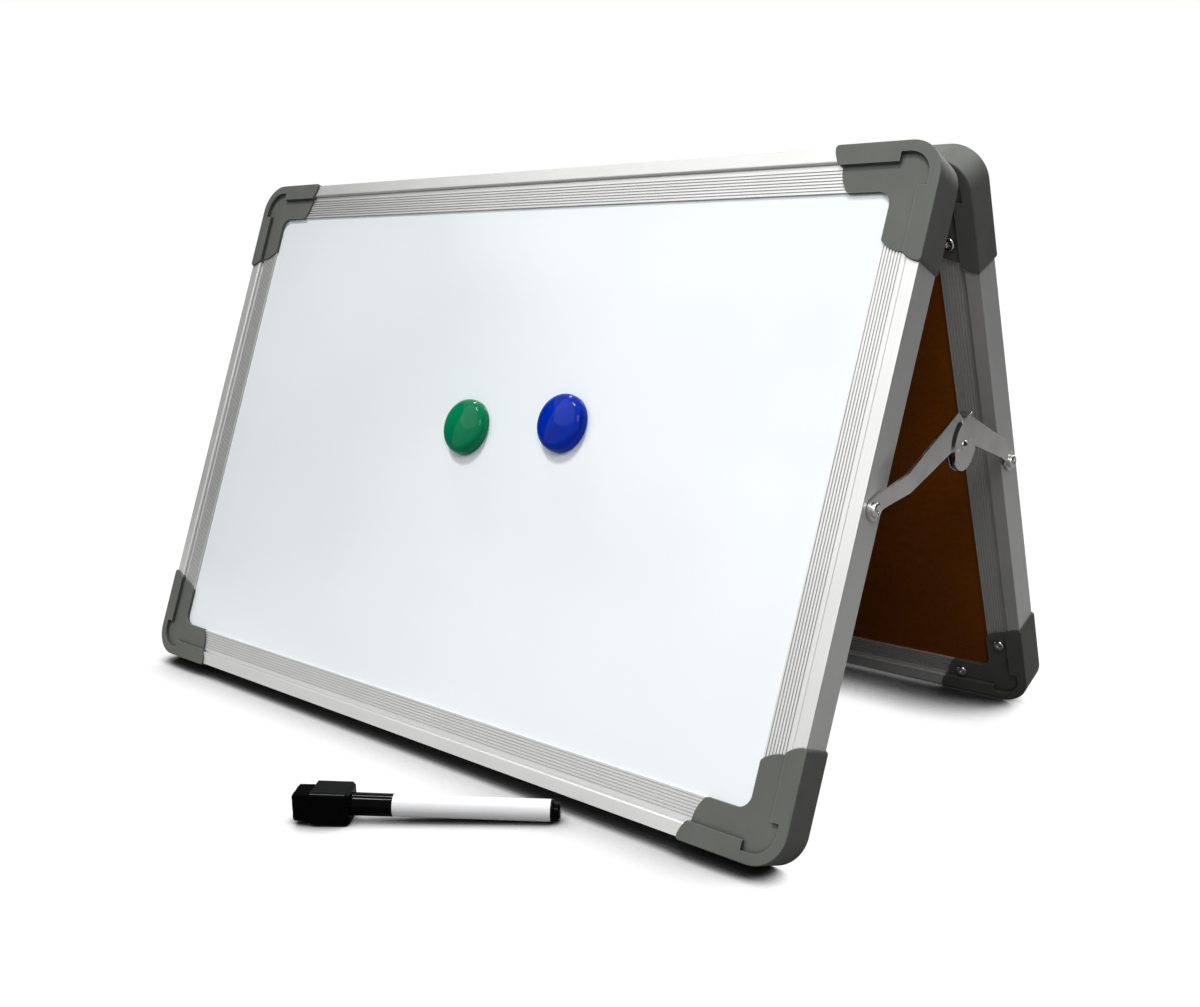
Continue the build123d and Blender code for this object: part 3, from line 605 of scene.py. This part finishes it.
# ---- modelling by hand ----
class Workshop:
    """Modelling steps on one selected object at a time."""

    WELD = 0.000002        # points that are nearer than this are one, in metres
    PLAIN = radians(1.0)   # faces that meet at less than this are one

    @staticmethod
    def deselect() -> None:
        """Leaves nothing selected."""
        bpy.ops.object.select_all(action="DESELECT")

    @classmethod
    def take(cls, *pieces: bpy.types.Object) -> None:
        """Selects these pieces alone.

        Args:
            pieces: The pieces; the first becomes the active one.
        """
        cls.deselect()
        for piece in pieces:
            piece.select_set(True)
        bpy.context.view_layer.objects.active = pieces[0]

    @classmethod
    @contextlib.contextmanager
    def editing(cls, piece: bpy.types.Object) -> Iterator[None]:
        """Edit mode on a piece, with nothing of it selected at first.

        Args:
            piece: Piece to edit.
        """
        cls.take(piece)
        bpy.ops.object.mode_set(mode="EDIT")
        bpy.ops.mesh.select_all(action="DESELECT")
        yield
        bpy.ops.object.mode_set(mode="OBJECT")

    @staticmethod
    def pick(piece: bpy.types.Object, kind: str, wanted: Callable) -> None:
        """Selects the elements of an edited mesh that meet a test.

        Args:
            piece: Piece in edit mode.
            kind: "faces" or "edges".
            wanted: Test on one element.
        """
        mesh = bmesh.from_edit_mesh(piece.data)
        for element in [element for element in getattr(mesh, kind) if wanted(element)]:
            element.select_set(True)
        mesh.select_flush_mode()
        bmesh.update_edit_mesh(piece.data)

    @classmethod
    def apply(cls, piece: bpy.types.Object, kind: str, **settings: object) -> None:
        """Adds a modifier and applies it.

        Args:
            piece: Piece that it shapes.
            kind: Type of the modifier.
            settings: Its properties.
        """
        cls.take(piece)
        modifier = piece.modifiers.new(kind.lower(), kind)
        for name, value in settings.items():
            setattr(modifier, name, value)
        bpy.ops.object.modifier_apply(modifier=modifier.name)

    @classmethod
    def smooth(cls, piece: bpy.types.Object, limit: float) -> None:
        """Smooth shading up to an angle, in degrees."""
        cls.take(piece)
        bpy.ops.object.shade_smooth_by_angle(angle=radians(limit))

    @classmethod
    def settle(cls, piece: bpy.types.Object, matrix: Matrix | None = None) -> None:
        """Puts a piece in its place and moves that place into its mesh.

        Args:
            piece: Piece to settle.
            matrix: Move that is made first.
        """
        if matrix is not None:
            piece.matrix_world = matrix @ piece.matrix_world
        cls.take(piece)
        bpy.ops.object.transform_apply(location=True, rotation=True, scale=True)

    @classmethod
    def copies(cls, model: bpy.types.Object, places: Sequence[Matrix],
               name: str) -> bpy.types.Object:
        """Copies a model to many places as one piece, and removes the model.

        Args:
            model: Modelled piece, at the origin.
            places: Place of each copy.
            name: Name of the joined piece.

        Returns:
            The joined piece.
        """
        made = []
        for place in places:
            mesh = model.data.copy()
            mesh.transform(place)
            copy = bpy.data.objects.new(name, mesh)
            bpy.context.scene.collection.objects.link(copy)
            made.append(copy)
        cls.take(*made)
        if len(made) > 1:
            bpy.ops.object.join()
        bpy.data.objects.remove(model)
        return made[0]

    @classmethod
    def join(cls, piece: bpy.types.Object, other: bpy.types.Object, operation: str) -> None:
        """Joins another piece to one, or cuts it out of that, and removes the other."""
        cls.apply(piece, "BOOLEAN", operation=operation, solver="EXACT", object=other)
        bpy.data.objects.remove(other)

    @classmethod
    def merged(cls, node: str) -> bpy.types.Object:
        """Copy of a node with its loose triangles merged to plain faces.

        Args:
            node: Node that is copied.

        Returns:
            The copy, ready to be shaped.
        """
        piece = bpy.data.objects.new(f"{node}_eased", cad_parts[node].data.copy())
        bpy.context.scene.collection.objects.link(piece)
        with cls.editing(piece):
            bpy.ops.mesh.select_all(action="SELECT")
            bpy.ops.mesh.remove_doubles(threshold=cls.WELD)
            bpy.ops.mesh.dissolve_limited(angle_limit=cls.PLAIN)
        cls.take(piece)
        bpy.ops.mesh.customdata_custom_splitnormals_clear()
        return piece

    @classmethod
    def ease(cls, piece: bpy.types.Object, width: float, segments: int = 2,
             sharp: float = 30.0) -> bpy.types.Object:
        """Eases the sharp edges of a piece by a small round.

        Args:
            piece: Merged copy of a node.
            width: Width of the round, in metres.
            segments: Steps of the round.
            sharp: Least angle of an edge that is eased, in degrees.

        Returns:
            The finished piece.
        """
        cls.apply(piece, "BEVEL", width=width, segments=segments, limit_method="ANGLE",
                  angle_limit=radians(sharp), use_clamp_overlap=True, miter_outer="MITER_ARC")
        cls.smooth(piece, limit=50.0)
        cls.apply(piece, "WEIGHTED_NORMAL", mode="FACE_AREA", weight=90, keep_sharp=True)
        cls.apply(piece, "TRIANGULATE", keep_custom_normals=True)
        return piece


def coat(piece: bpy.types.Object, material: bpy.types.Material) -> None:
    """Puts one material in every slot of a piece.

    Args:
        piece: Piece or node.
        material: Material of its finish.
    """
    if not piece.material_slots:
        piece.data.materials.append(material)
    for slot in piece.material_slots:
        slot.material = material


def dress(piece: bpy.types.Object, material: bpy.types.Material) -> None:
    """Gives a whole modelled piece one material.

    Args:
        piece: Modelled piece.
        material: Material of its finish.
    """
    coat(piece, material)
    for face in piece.data.polygons:
        face.material_index = 0


def dress_node(node: str, finish: Finish) -> None:
    """Gives a node of the frame its finish."""
    coat(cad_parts[node], finish.material())


def mount(piece: bpy.types.Object, body: str, slot: str, *nodes: str) -> None:
    """Hangs a finished piece on its body in place of the nodes that it stands for.

    Args:
        piece: Finished piece, its place in its mesh.
        body: Body that it rides on.
        slot: Not used.
        nodes: Nodes that it replaces.
    """
    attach(piece, body)
    if nodes:
        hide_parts(*nodes)
    log.info("%s: %d faces on %s", piece.name, len(piece.data.polygons), body)


def show_eased(node: str, finish: Finish, body: str, slot: str, width: float,
               segments: int = 2) -> None:
    """Shows a node by a copy of it with eased edges.

    Args:
        node: Node that is copied and replaced.
        finish: Finish of both.
        body: Body that it rides on.
        slot: Material slot name, handed on to mount.
        width: Width of the round on its edges, in metres.
        segments: Steps of the round.
    """
    dress_node(node, finish)
    piece = Workshop.ease(Workshop.merged(node), width, segments)
    dress(piece, finish.material())
    mount(piece, body, slot, node)


def seat(point: Vector, outward: Vector, spin: float) -> Matrix:
    """Place of a screw head.

    Args:
        point: Middle of the seat, in metres.
        outward: Direction that the head looks in.
        spin: Turn of its recess, in radians.

    Returns:
        Matrix that carries the model's z axis to that direction.
    """
    turn = outward.to_track_quat("Z", "Y").to_matrix().to_4x4()
    return Matrix.Translation(point) @ turn @ Matrix.Rotation(spin, 4, "Z")


@dataclass(frozen=True)
class CrossScrew:
    """Pan head with a tapered cross recess; its seat is at z = 0."""

    radius: float
    height: float
    sides: int = 40
    dome_share: float = 0.62
    recess_share: float = 0.62
    web_share: float = 0.19
    depth_share: float = 0.68
    painted_edge_highlight_share: float = 0.025
    taper: Triple = (0.34, 0.55, 1.0)

    def head(self) -> bpy.types.Object:
        """Turned pan head.

        Returns:
            The head without its recess.
        """
        Workshop.deselect()
        bpy.ops.mesh.primitive_cylinder_add(vertices=self.sides, radius=self.radius,
                                            depth=self.height, location=(0, 0, self.height / 2))
        piece = bpy.context.object
        Workshop.settle(piece)
        with Workshop.editing(piece):
            Workshop.pick(piece, "faces", lambda face: face.normal.z > FACING)
            bpy.ops.mesh.bevel(offset=self.height * self.dome_share, segments=6, affect="EDGES")
        return piece

    def recess(self) -> bpy.types.Object:
        """Two crossed wedges, wide at the top and narrow at the bottom.

        Returns:
            The cutter for the recess.
        """
        reach = self.radius * self.recess_share
        web = self.radius * self.web_share
        depth = self.height * self.depth_share
        wedges = []
        for turn in (0.0, pi / 2):
            Workshop.deselect()
            bpy.ops.mesh.primitive_cube_add(size=1.0, location=(0, 0, self.height))
            wedge = bpy.context.object
            wedge.scale = (2 * reach, 2 * web, 2 * depth)
            Workshop.settle(wedge)
            with Workshop.editing(wedge):
                Workshop.pick(wedge, "faces", lambda face: face.normal.z < -FACING)
                bpy.ops.transform.resize(value=self.taper)
            Workshop.settle(wedge, Matrix.Rotation(turn, 4, "Z"))
            wedges.append(wedge)
        Workshop.join(*wedges, operation="UNION")
        return wedges[0]

    def model(self) -> bpy.types.Object:
        """Finished head.

        Returns:
            The head at the origin, its recess cut and its edges broken.
        """
        piece = self.head()
        Workshop.join(piece, self.recess(), operation="DIFFERENCE")
        Workshop.apply(piece, "BEVEL", width=self.radius * self.painted_edge_highlight_share, segments=1,
                       limit_method="ANGLE", angle_limit=radians(40))
        Workshop.smooth(piece, limit=32.0)
        return piece

    def fit(self, node: str, body: str, places: Sequence[Matrix]) -> None:
        """Shows a node of screws by modelled heads.

        Args:
            node: Node that is replaced.
            body: Body that the heads ride on.
            places: Place of each head.
        """
        dress_node(node, FASTENER)
        name = f"{node}_heads" if len(places) > 1 else f"{node}_head"
        piece = Workshop.copies(self.model(), places, name)
        dress(piece, FASTENER.material())
        mount(piece, body, "bright_fastener", node)


# ---- sub-assemblies ---------------------------------------------------------------------------
@dataclass
class Board:
    """One framed board: sheet, hardboard, four rails, four corner caps and its screws."""

    side: Side
    width: float = 432.0 * MM
    height: float = 280.0 * MM
    thickness: float = 15.2 * MM
    foot_rise: float = 1.231 * MM
    half_top_gap: float = 1.770 * MM
    cap_screw_along: float = 34.5 * MM
    cap_screw_in: float = 12.0 * MM
    cap_seat: float = -14.4 * MM
    cap_screw: CrossScrew = CrossScrew(2.9 * MM, 1.5 * MM)
    first_spin: float = 0.4
    spin_step: float = 1.7
    cap_round: float = 0.35 * MM
    rail_round: float = 0.12 * MM
    rim_wide: float = 6.2 * MM
    rim_round: float = 0.90 * MM
    slack: float = 0.02 * MM

    def point(self, along: float, up: float, out: float) -> Vector:
        """World place of a point in the board's own frame.

        Args:
            along: Along the board, from its middle.
            up: Up the board, from its foot.
            out: Out of its writing face, from the rims.

        Returns:
            The place, in metres.
        """
        base_y = -self.half_top_gap - self.height * sin(LEAN)
        y = base_y + up * sin(LEAN) - (out + self.thickness) * cos(LEAN)
        z = self.foot_rise + up * cos(LEAN) + (out + self.thickness) * sin(LEAN)
        return Vector((along, -y * self.side.sign, z))

    @property
    def outward(self) -> Vector:
        """Direction out of the writing face."""
        return Vector((0.0, cos(LEAN) * self.side.sign, sin(LEAN)))

    def on_rim_edge(self, place: Vector, rail: str) -> bool:
        """True for a point on the step that a rail's raised rim ends in.

        Args:
            place: World place of the point.
            rail: "top", "bottom", "left" or "right".

        Returns:
            Whether it lies on the rim's inner edge, at the level of the rim's face.
        """
        back = -place.y * self.side.sign + self.half_top_gap + self.height * sin(LEAN)
        above = place.z - self.foot_rise
        out = above * sin(LEAN) - back * cos(LEAN) - self.thickness
        up = above * cos(LEAN) + back * sin(LEAN)
        inward = {"top": self.height - up, "bottom": up}.get(rail, self.width / 2 - abs(place.x))
        return abs(out) < self.slack and abs(inward - self.rim_wide) < self.slack

    def rounded_rail(self, rail: str) -> bpy.types.Object:
        """Copy of a rail with the rim's inner edge rolled over, as it was drawn.

        Args:
            rail: "top", "bottom", "left" or "right".

        Returns:
            The copy, its other edges eased.
        """
        piece = Workshop.merged(f"{self.side.value}_rail_{rail}")
        with Workshop.editing(piece):
            Workshop.pick(piece, "edges",
                          lambda edge: all(self.on_rim_edge(end.co, rail) for end in edge.verts))
            bpy.ops.mesh.bevel(offset=self.rim_round, segments=5, affect="EDGES")
        return Workshop.ease(piece, self.rail_round, segments=1)

    def dress_panel(self) -> None:
        """Sheet, core and hardboard."""
        for layer, finish in (("writing_sheet", SHEET), ("core", CORE), ("hardboard_back", BACK)):
            dress_node(f"{self.side.value}_{layer}", finish)

    def dress_rails(self) -> None:
        """Rails with eased edges, the draw lines along each."""
        for place in ("top", "bottom", "left", "right"):
            node = f"{self.side.value}_rail_{place}"
            draw = Draw.ACROSS if place in ("top", "bottom") else Draw.UPRIGHT
            finish = Anodised.rail(self.side, draw)
            dress_node(node, finish)
            piece = self.rounded_rail(place)
            dress(piece, finish.material())
            mount(piece, self.side.body, "anodised_rail", node)

    def dress_caps(self) -> None:
        """Corner caps with moulded rounds."""
        for place in ("top_left", "top_right", "bottom_left", "bottom_right"):
            node = f"{self.side.value}_corner_{place}"
            show_eased(node, CAP, self.side.body, "grey_cap", self.cap_round)

    def cap_screws(self) -> None:
        """Eight pan heads in the inner face of the caps."""
        one_leg = (self.cap_screw_along, self.cap_screw_in)
        places = []
        for along, up in (one_leg, one_leg[::-1]):
            for end in (-1, 1):
                for rise in (up, self.height - up):
                    place = self.point(end * (self.width / 2 - along), rise, self.cap_seat)
                    spin = self.first_spin + self.spin_step * len(places)
                    places.append(seat(place, -self.outward, spin))
        self.cap_screw.fit(f"{self.side.value}_corner_screws", self.side.body, places)

    def build(self) -> None:
        """Dresses the whole board."""
        self.dress_panel()
        self.dress_rails()
        self.dress_caps()
        self.cap_screws()


@dataclass
class Hinges:
    """Two butt hinges in the valley between the boards."""

    leaf_round: float = 0.15 * MM

    def build(self) -> None:
        """Dresses leaves, pins and screws."""
        for hand in Hand:
            for side in Side:
                show_eased(f"{side.value}_hinge_leaf_{hand.value}", HINGE, side.body, "hinge_steel",
                           self.leaf_round, segments=1)
            dress_node(f"hinge_pin_{hand.value}", FASTENER)
        for side in Side:
            dress_node(f"{side.value}_hinge_screws", FASTENER)


@dataclass
class Stay:
    """Folding side stay: two joggled arms, rivet, washer and its two pivot screws."""

    hand: Hand
    pivot_out: float = 216.0 * MM
    pivot_y: float = 62.891 * MM
    pivot_z: float = 132.899 * MM
    seat_out: float = 1.5 * MM
    arm_round: float = 0.18 * MM
    screw: CrossScrew = CrossScrew(3.0 * MM, 1.4 * MM)
    spin: float = 0.5
    spin_step: float = 0.35

    def body(self, arm: str) -> str:
        """Body of one arm."""
        return f"{self.hand.value}_{arm}_arm"

    def arms(self) -> None:
        """Both arms with eased edges, their rivet and washer."""
        for arm in ("front", "rear"):
            show_eased(f"stay_{arm}_arm_{self.hand.value}", STAY, self.body(arm), "stay_steel",
                       self.arm_round)
        dress_node(f"stay_rivet_{self.hand.value}", FASTENER)
        dress_node(f"stay_washer_{self.hand.value}", MATT_BLACK)

    def screws(self) -> None:
        """Cross heads at both ends."""
        out = self.hand.sign * (self.pivot_out + self.seat_out)
        for side, body in ((Side.FRONT, Side.FRONT.body), (Side.REAR, self.body("rear"))):
            point = Vector((out, side.sign * self.pivot_y, self.pivot_z))
            spin = self.spin + side.sign * self.spin_step
            place = seat(point, Vector((self.hand.sign, 0, 0)), spin)
            self.screw.fit(f"stay_{side.value}_screw_{self.hand.value}", body, [place])

    def build(self) -> None:
        """Dresses the stay."""
        self.arms()
        self.screws()


@dataclass
class Magnets:
    """Two button magnets on the front sheet."""

    def build(self) -> None:
        """Dresses buttons and discs."""
        for name, finish in (("green", GREEN), ("blue", BLUE)):
            dress_node(f"magnet_{name}_button", finish)
            dress_node(f"magnet_{name}_disc", MAGNET_CORE)


@dataclass
class Marker:
    """Dry-wipe marker that lies in front, with the felt pad on its cap."""

    start: tuple[float, float] = (24.9 * MM, -198.298 * MM)
    turn: float = 36.8
    rise: float = 7.9925 * MM
    tilt: float = 1.7337
    felt_long: float = 8.2 * MM
    felt_wide: float = 12.0 * MM
    felt_round: float = 1.1 * MM
    face_share: float = 0.6
    cap_round: float = 0.30 * MM
    voxel: float = 0.00035
    wool_size: float = 0.0011
    wool_height: float = 0.00045

    @property
    def place(self) -> Matrix:
        """Where the marker lies; its own x axis runs from the eraser to the end plug."""
        lie = Matrix.Translation((*self.start, self.rise))
        turn = Matrix.Rotation(radians(self.turn), 4, "Z")
        return lie @ turn @ Matrix.Rotation(radians(self.tilt), 4, "Y")

    def felt(self) -> None:
        """Felt pad: rounded, uneven and a little worn on its face."""
        Workshop.deselect()
        bpy.ops.mesh.primitive_cube_add(size=1.0, location=(self.felt_long / 2, 0, 0))
        pad = bpy.context.object
        pad.name = "marker_eraser_pad"
        pad.scale = (self.felt_long, self.felt_wide, self.felt_wide)
        Workshop.settle(pad)
        with Workshop.editing(pad):
            Workshop.pick(pad, "edges", lambda edge: abs(
                edge.verts[0].co.x - edge.verts[1].co.x) > self.felt_long / 2)
            bpy.ops.mesh.bevel(offset=self.felt_round, segments=4, affect="EDGES")
        with Workshop.editing(pad):
            Workshop.pick(pad, "faces", lambda face: face.normal.x < -FACING)
            bpy.ops.mesh.bevel(offset=self.felt_round * self.face_share, segments=3, affect="EDGES")
        Workshop.apply(pad, "REMESH", mode="VOXEL", voxel_size=self.voxel)
        wool = bpy.data.textures.new("wool", "CLOUDS")
        wool.noise_scale = self.wool_size
        wool.noise_depth = 3
        Workshop.apply(pad, "DISPLACE", texture=wool, strength=self.wool_height, mid_level=0.62,
                       texture_coords="LOCAL")
        bpy.data.textures.remove(wool)
        Workshop.settle(pad, self.place)
        Workshop.take(pad)
        bpy.ops.object.shade_smooth()
        dress(pad, FELT.material())
        mount(pad, "marker_cap_body", "eraser_felt", "marker_eraser_felt")

    def build(self) -> None:
        """Dresses the marker and models its felt."""
        plain = {"marker_eraser_felt": FELT, "marker_barrel": BARREL, "marker_nib_holder": HOLDER,
                 "marker_nib": NIB, "marker_ink_reservoir": INK}
        for node, finish in plain.items():
            dress_node(node, finish)
        for node, body in (("marker_cap", "marker_cap_body"), ("marker_end_plug", "marker")):
            show_eased(node, BLACK, body, "black_plastic", self.cap_round)
        self.felt()


# ---- studio ----
@dataclass(frozen=True)
class FarLamp:
    """Broad far lamp; its angles are in degrees."""

    name: str
    azimuth: float      # where it stands, from the front towards the right
    elevation: float    # above the horizon
    level: float        # light on a surface that faces it; at one, a colour renders as written
    spread: float       # how broad it looks from the object
    away: float = 2.0   # where its symbol stands, in metres

    def build(self) -> None:
        """Adds the lamp."""
        towards = bearing(self.azimuth, self.elevation)
        Workshop.deselect()
        bpy.ops.object.light_add(type="SUN", location=towards * self.away)
        lamp = bpy.context.object
        lamp.name = self.name
        lamp.rotation_euler = towards.to_track_quat("Z", "Y").to_euler()
        lamp.data.energy = self.level * pi
        lamp.data.angle = radians(self.spread)


@dataclass(frozen=True)
class Card:
    """Upright grey card beside the easel, out of view, that shows in its ends and gloss."""

    name: str
    middle: Triple
    size: tuple[float, float]   # width and height
    level: int                  # grey, from 0 to 255
    azimuth: float = 90.0       # where it faces, in degrees from the front towards the right

    def build(self) -> None:
        """Adds the card to the stage."""
        Workshop.deselect()
        bpy.ops.mesh.primitive_plane_add(size=1.0, location=self.middle)
        card = bpy.context.object
        card.name = self.name
        card.scale = (*self.size, 1.0)
        card.rotation_euler = (pi / 2, 0.0, radians(self.azimuth))
        card.visible_camera = False
        material = bpy.data.materials.new(self.name)
        material.use_nodes = True
        bench = Bench(material.node_tree)
        grey = colour(self.level, self.level, self.level)
        matt = bench.node("ShaderNodeBsdfDiffuse", None, {"Color": grey})
        bench.node("ShaderNodeOutputMaterial", None, {"Surface": matt})
        card.data.materials.append(material)


@dataclass
class Studio:
    """Camera, floor, lamps and background.  The camera's values are those of the photograph."""

    image: tuple[int, int] = (1200, 1007)
    focal: float = 1198.31
    centre: tuple[float, float] = (633.75, 593.12)
    eye: Triple = (0.42972, -0.45869, 0.22998)
    azimuth: float = 39.911
    elevation: float = 16.2017
    roll: float = -1.0608
    sensor: float = 36.0
    clip: tuple[float, float] = (0.01, 200.0)
    ambient: float = 0.20
    panel_at: Triple = (0.60, -0.60, 0.80)
    panel_aim: Triple = (0.10, -0.05, 0.15)
    panel_size: float = 0.30
    panel_watts: float = 2.8
    floor_reach: float = 30.0
    floor_cloud: float = 0.4
    floor_greys: tuple[int, int] = (64, 66)
    bounce_grey: int = 144
    # reach and leaning of the ambient occlusion that paints the floor's contact shadow
    contact_reach: float = 0.064
    contact_side: Triple = (0.22, 0.56, 0.80)
    lamps: tuple[FarLamp, ...] = (
        FarLamp("key_top", azimuth=-22.0, elevation=72.0, level=0.67, spread=10.0),
        FarLamp("fill_front", azimuth=-34.0, elevation=42.0, level=0.20, spread=40.0),
        FarLamp("top_left", azimuth=-120.0, elevation=62.0, level=0.20, spread=7.0),
        FarLamp("fill_back", azimuth=172.0, elevation=34.0, level=0.40, spread=34.0),
    )
    cards: tuple[Card, ...] = (
        Card("card_right", middle=(0.68, 0.675, 0.535), size=(1.85, 0.93), level=60),
        Card("card_left", middle=(-0.45, -0.225, 0.31), size=(0.30, 0.42), level=50),
    )

    def camera(self) -> None:
        """Camera at the photograph's viewpoint, with its framing as a small shift."""
        az, tilt = radians(self.azimuth), radians(self.roll)
        back = bearing(self.azimuth, self.elevation)
        level = Vector((cos(az), sin(az), 0.0))
        rise = back.cross(level)
        right = level * cos(tilt) + rise * sin(tilt)
        above = rise * cos(tilt) - level * sin(tilt)
        turn = Matrix((right, above, back)).transposed().to_4x4()
        Workshop.deselect()
        bpy.ops.object.camera_add()
        camera = bpy.context.object
        camera.name = "photo_camera"
        camera.matrix_world = Matrix.Translation(self.eye) @ turn
        wide, high = self.image
        camera.data.sensor_fit = "HORIZONTAL"
        camera.data.sensor_width = self.sensor
        camera.data.lens = self.focal * self.sensor / wide
        camera.data.shift_x = (wide / 2 - self.centre[0]) / wide
        camera.data.shift_y = (self.centre[1] - high / 2) / wide
        camera.data.clip_start, camera.data.clip_end = self.clip
        bpy.context.scene.camera = camera

    def panel_lamp(self) -> None:
        """Soft panel near the right end, whose light falls off towards the left."""
        Workshop.deselect()
        bpy.ops.object.light_add(type="AREA", location=self.panel_at)
        lamp = bpy.context.object
        lamp.name = "panel_right"
        aim = Vector(self.panel_aim) - Vector(self.panel_at)
        lamp.rotation_euler = aim.to_track_quat("-Z", "Y").to_euler()
        lamp.data.shape = "SQUARE"
        lamp.data.size = self.panel_size
        lamp.data.energy = self.panel_watts

    def sky(self) -> None:
        """World: plain ambient light, but white where it is seen, mirrored or looked through."""
        world = bpy.data.worlds.new("studio_white")
        bpy.context.scene.world = world
        world.use_nodes = True
        bench = Bench(world.node_tree)
        rays = [bench.node("ShaderNodeLightPath", output=name)
                for name in ("Is Camera Ray", "Is Glossy Ray", "Is Transmission Ray")]
        seen = (rays[0] + rays[1] + rays[2]).at_most_one()
        dim = bench.node("ShaderNodeBackground", None, {"Color": WHITE, "Strength": self.ambient})
        white = bench.node("ShaderNodeBackground", None, {"Color": WHITE, "Strength": 1.0})
        shown = bench.node("ShaderNodeMixShader", None, {0: seen, 1: dim, 2: white})
        bench.node("ShaderNodeOutputWorld", None, {"Surface": shown})

    def floor(self) -> None:
        """Pale table top that shows white, with a painted contact shadow over a faint real one."""
        Workshop.deselect()
        bpy.ops.mesh.primitive_plane_add(size=2 * self.floor_reach)
        table = bpy.context.object
        table.name = "table_top"
        material = bpy.data.materials.new("table_white")
        material.use_nodes = True
        bench = Bench(material.node_tree)
        grain = bench.noise(self.floor_cloud)
        dark, pale = (colour(grey, grey, grey) for grey in self.floor_greys)
        matt = bench.node("ShaderNodeBsdfDiffuse", None, {"Color": bench.mix(grain, dark, pale)})
        side = bench.node("ShaderNodeCombineXYZ", None, dict(enumerate(self.contact_side)))
        # Painted shadow: the white glow seen by the camera dims with ambient occlusion about a
        # normal tilted to the back right.
        free = bench.node("ShaderNodeAmbientOcclusion", {"samples": 16},
                          {"Distance": self.contact_reach, "Normal": side}, "AO")
        glow_with_painted_shadow = bench.node("ShaderNodeEmission", None,
                          {"Color": WHITE, "Strength": bench.rise(free, 0.34, 0.68)})
        lit = bench.node("ShaderNodeAddShader", None, {0: matt, 1: glow_with_painted_shadow})
        grey = colour(self.bounce_grey, self.bounce_grey, self.bounce_grey)
        dim = bench.node("ShaderNodeBsdfDiffuse", None, {"Color": grey})
        straight = bench.node("ShaderNodeLightPath", output="Is Camera Ray")
        shown = bench.node("ShaderNodeMixShader", None, {0: straight, 1: dim, 2: lit})
        bench.node("ShaderNodeOutputMaterial", None, {"Surface": shown})
        table.data.materials.append(material)

    def build(self) -> None:
        """Sets up the studio."""
        self.camera()
        for lamp in self.lamps:
            lamp.build()
        self.panel_lamp()
        self.sky()
        self.floor()
        for card in self.cards:
            card.build()
        bpy.context.scene.view_settings.view_transform = "Standard"


def main() -> None:
    """Builds the studio and every sub-assembly in order."""
    logging.basicConfig(level=logging.INFO, format="%(name)s: %(message)s")
    Studio().build()
    parts = [Board(Side.FRONT), Board(Side.REAR), Hinges(), Stay(Hand.RIGHT), Stay(Hand.LEFT),
             Magnets(), Marker()]
    for part in parts:
        part.build()
        log.info("%s is built", type(part).__name__)
    Workshop.deselect()


if __name__ == "__main__":
    main()
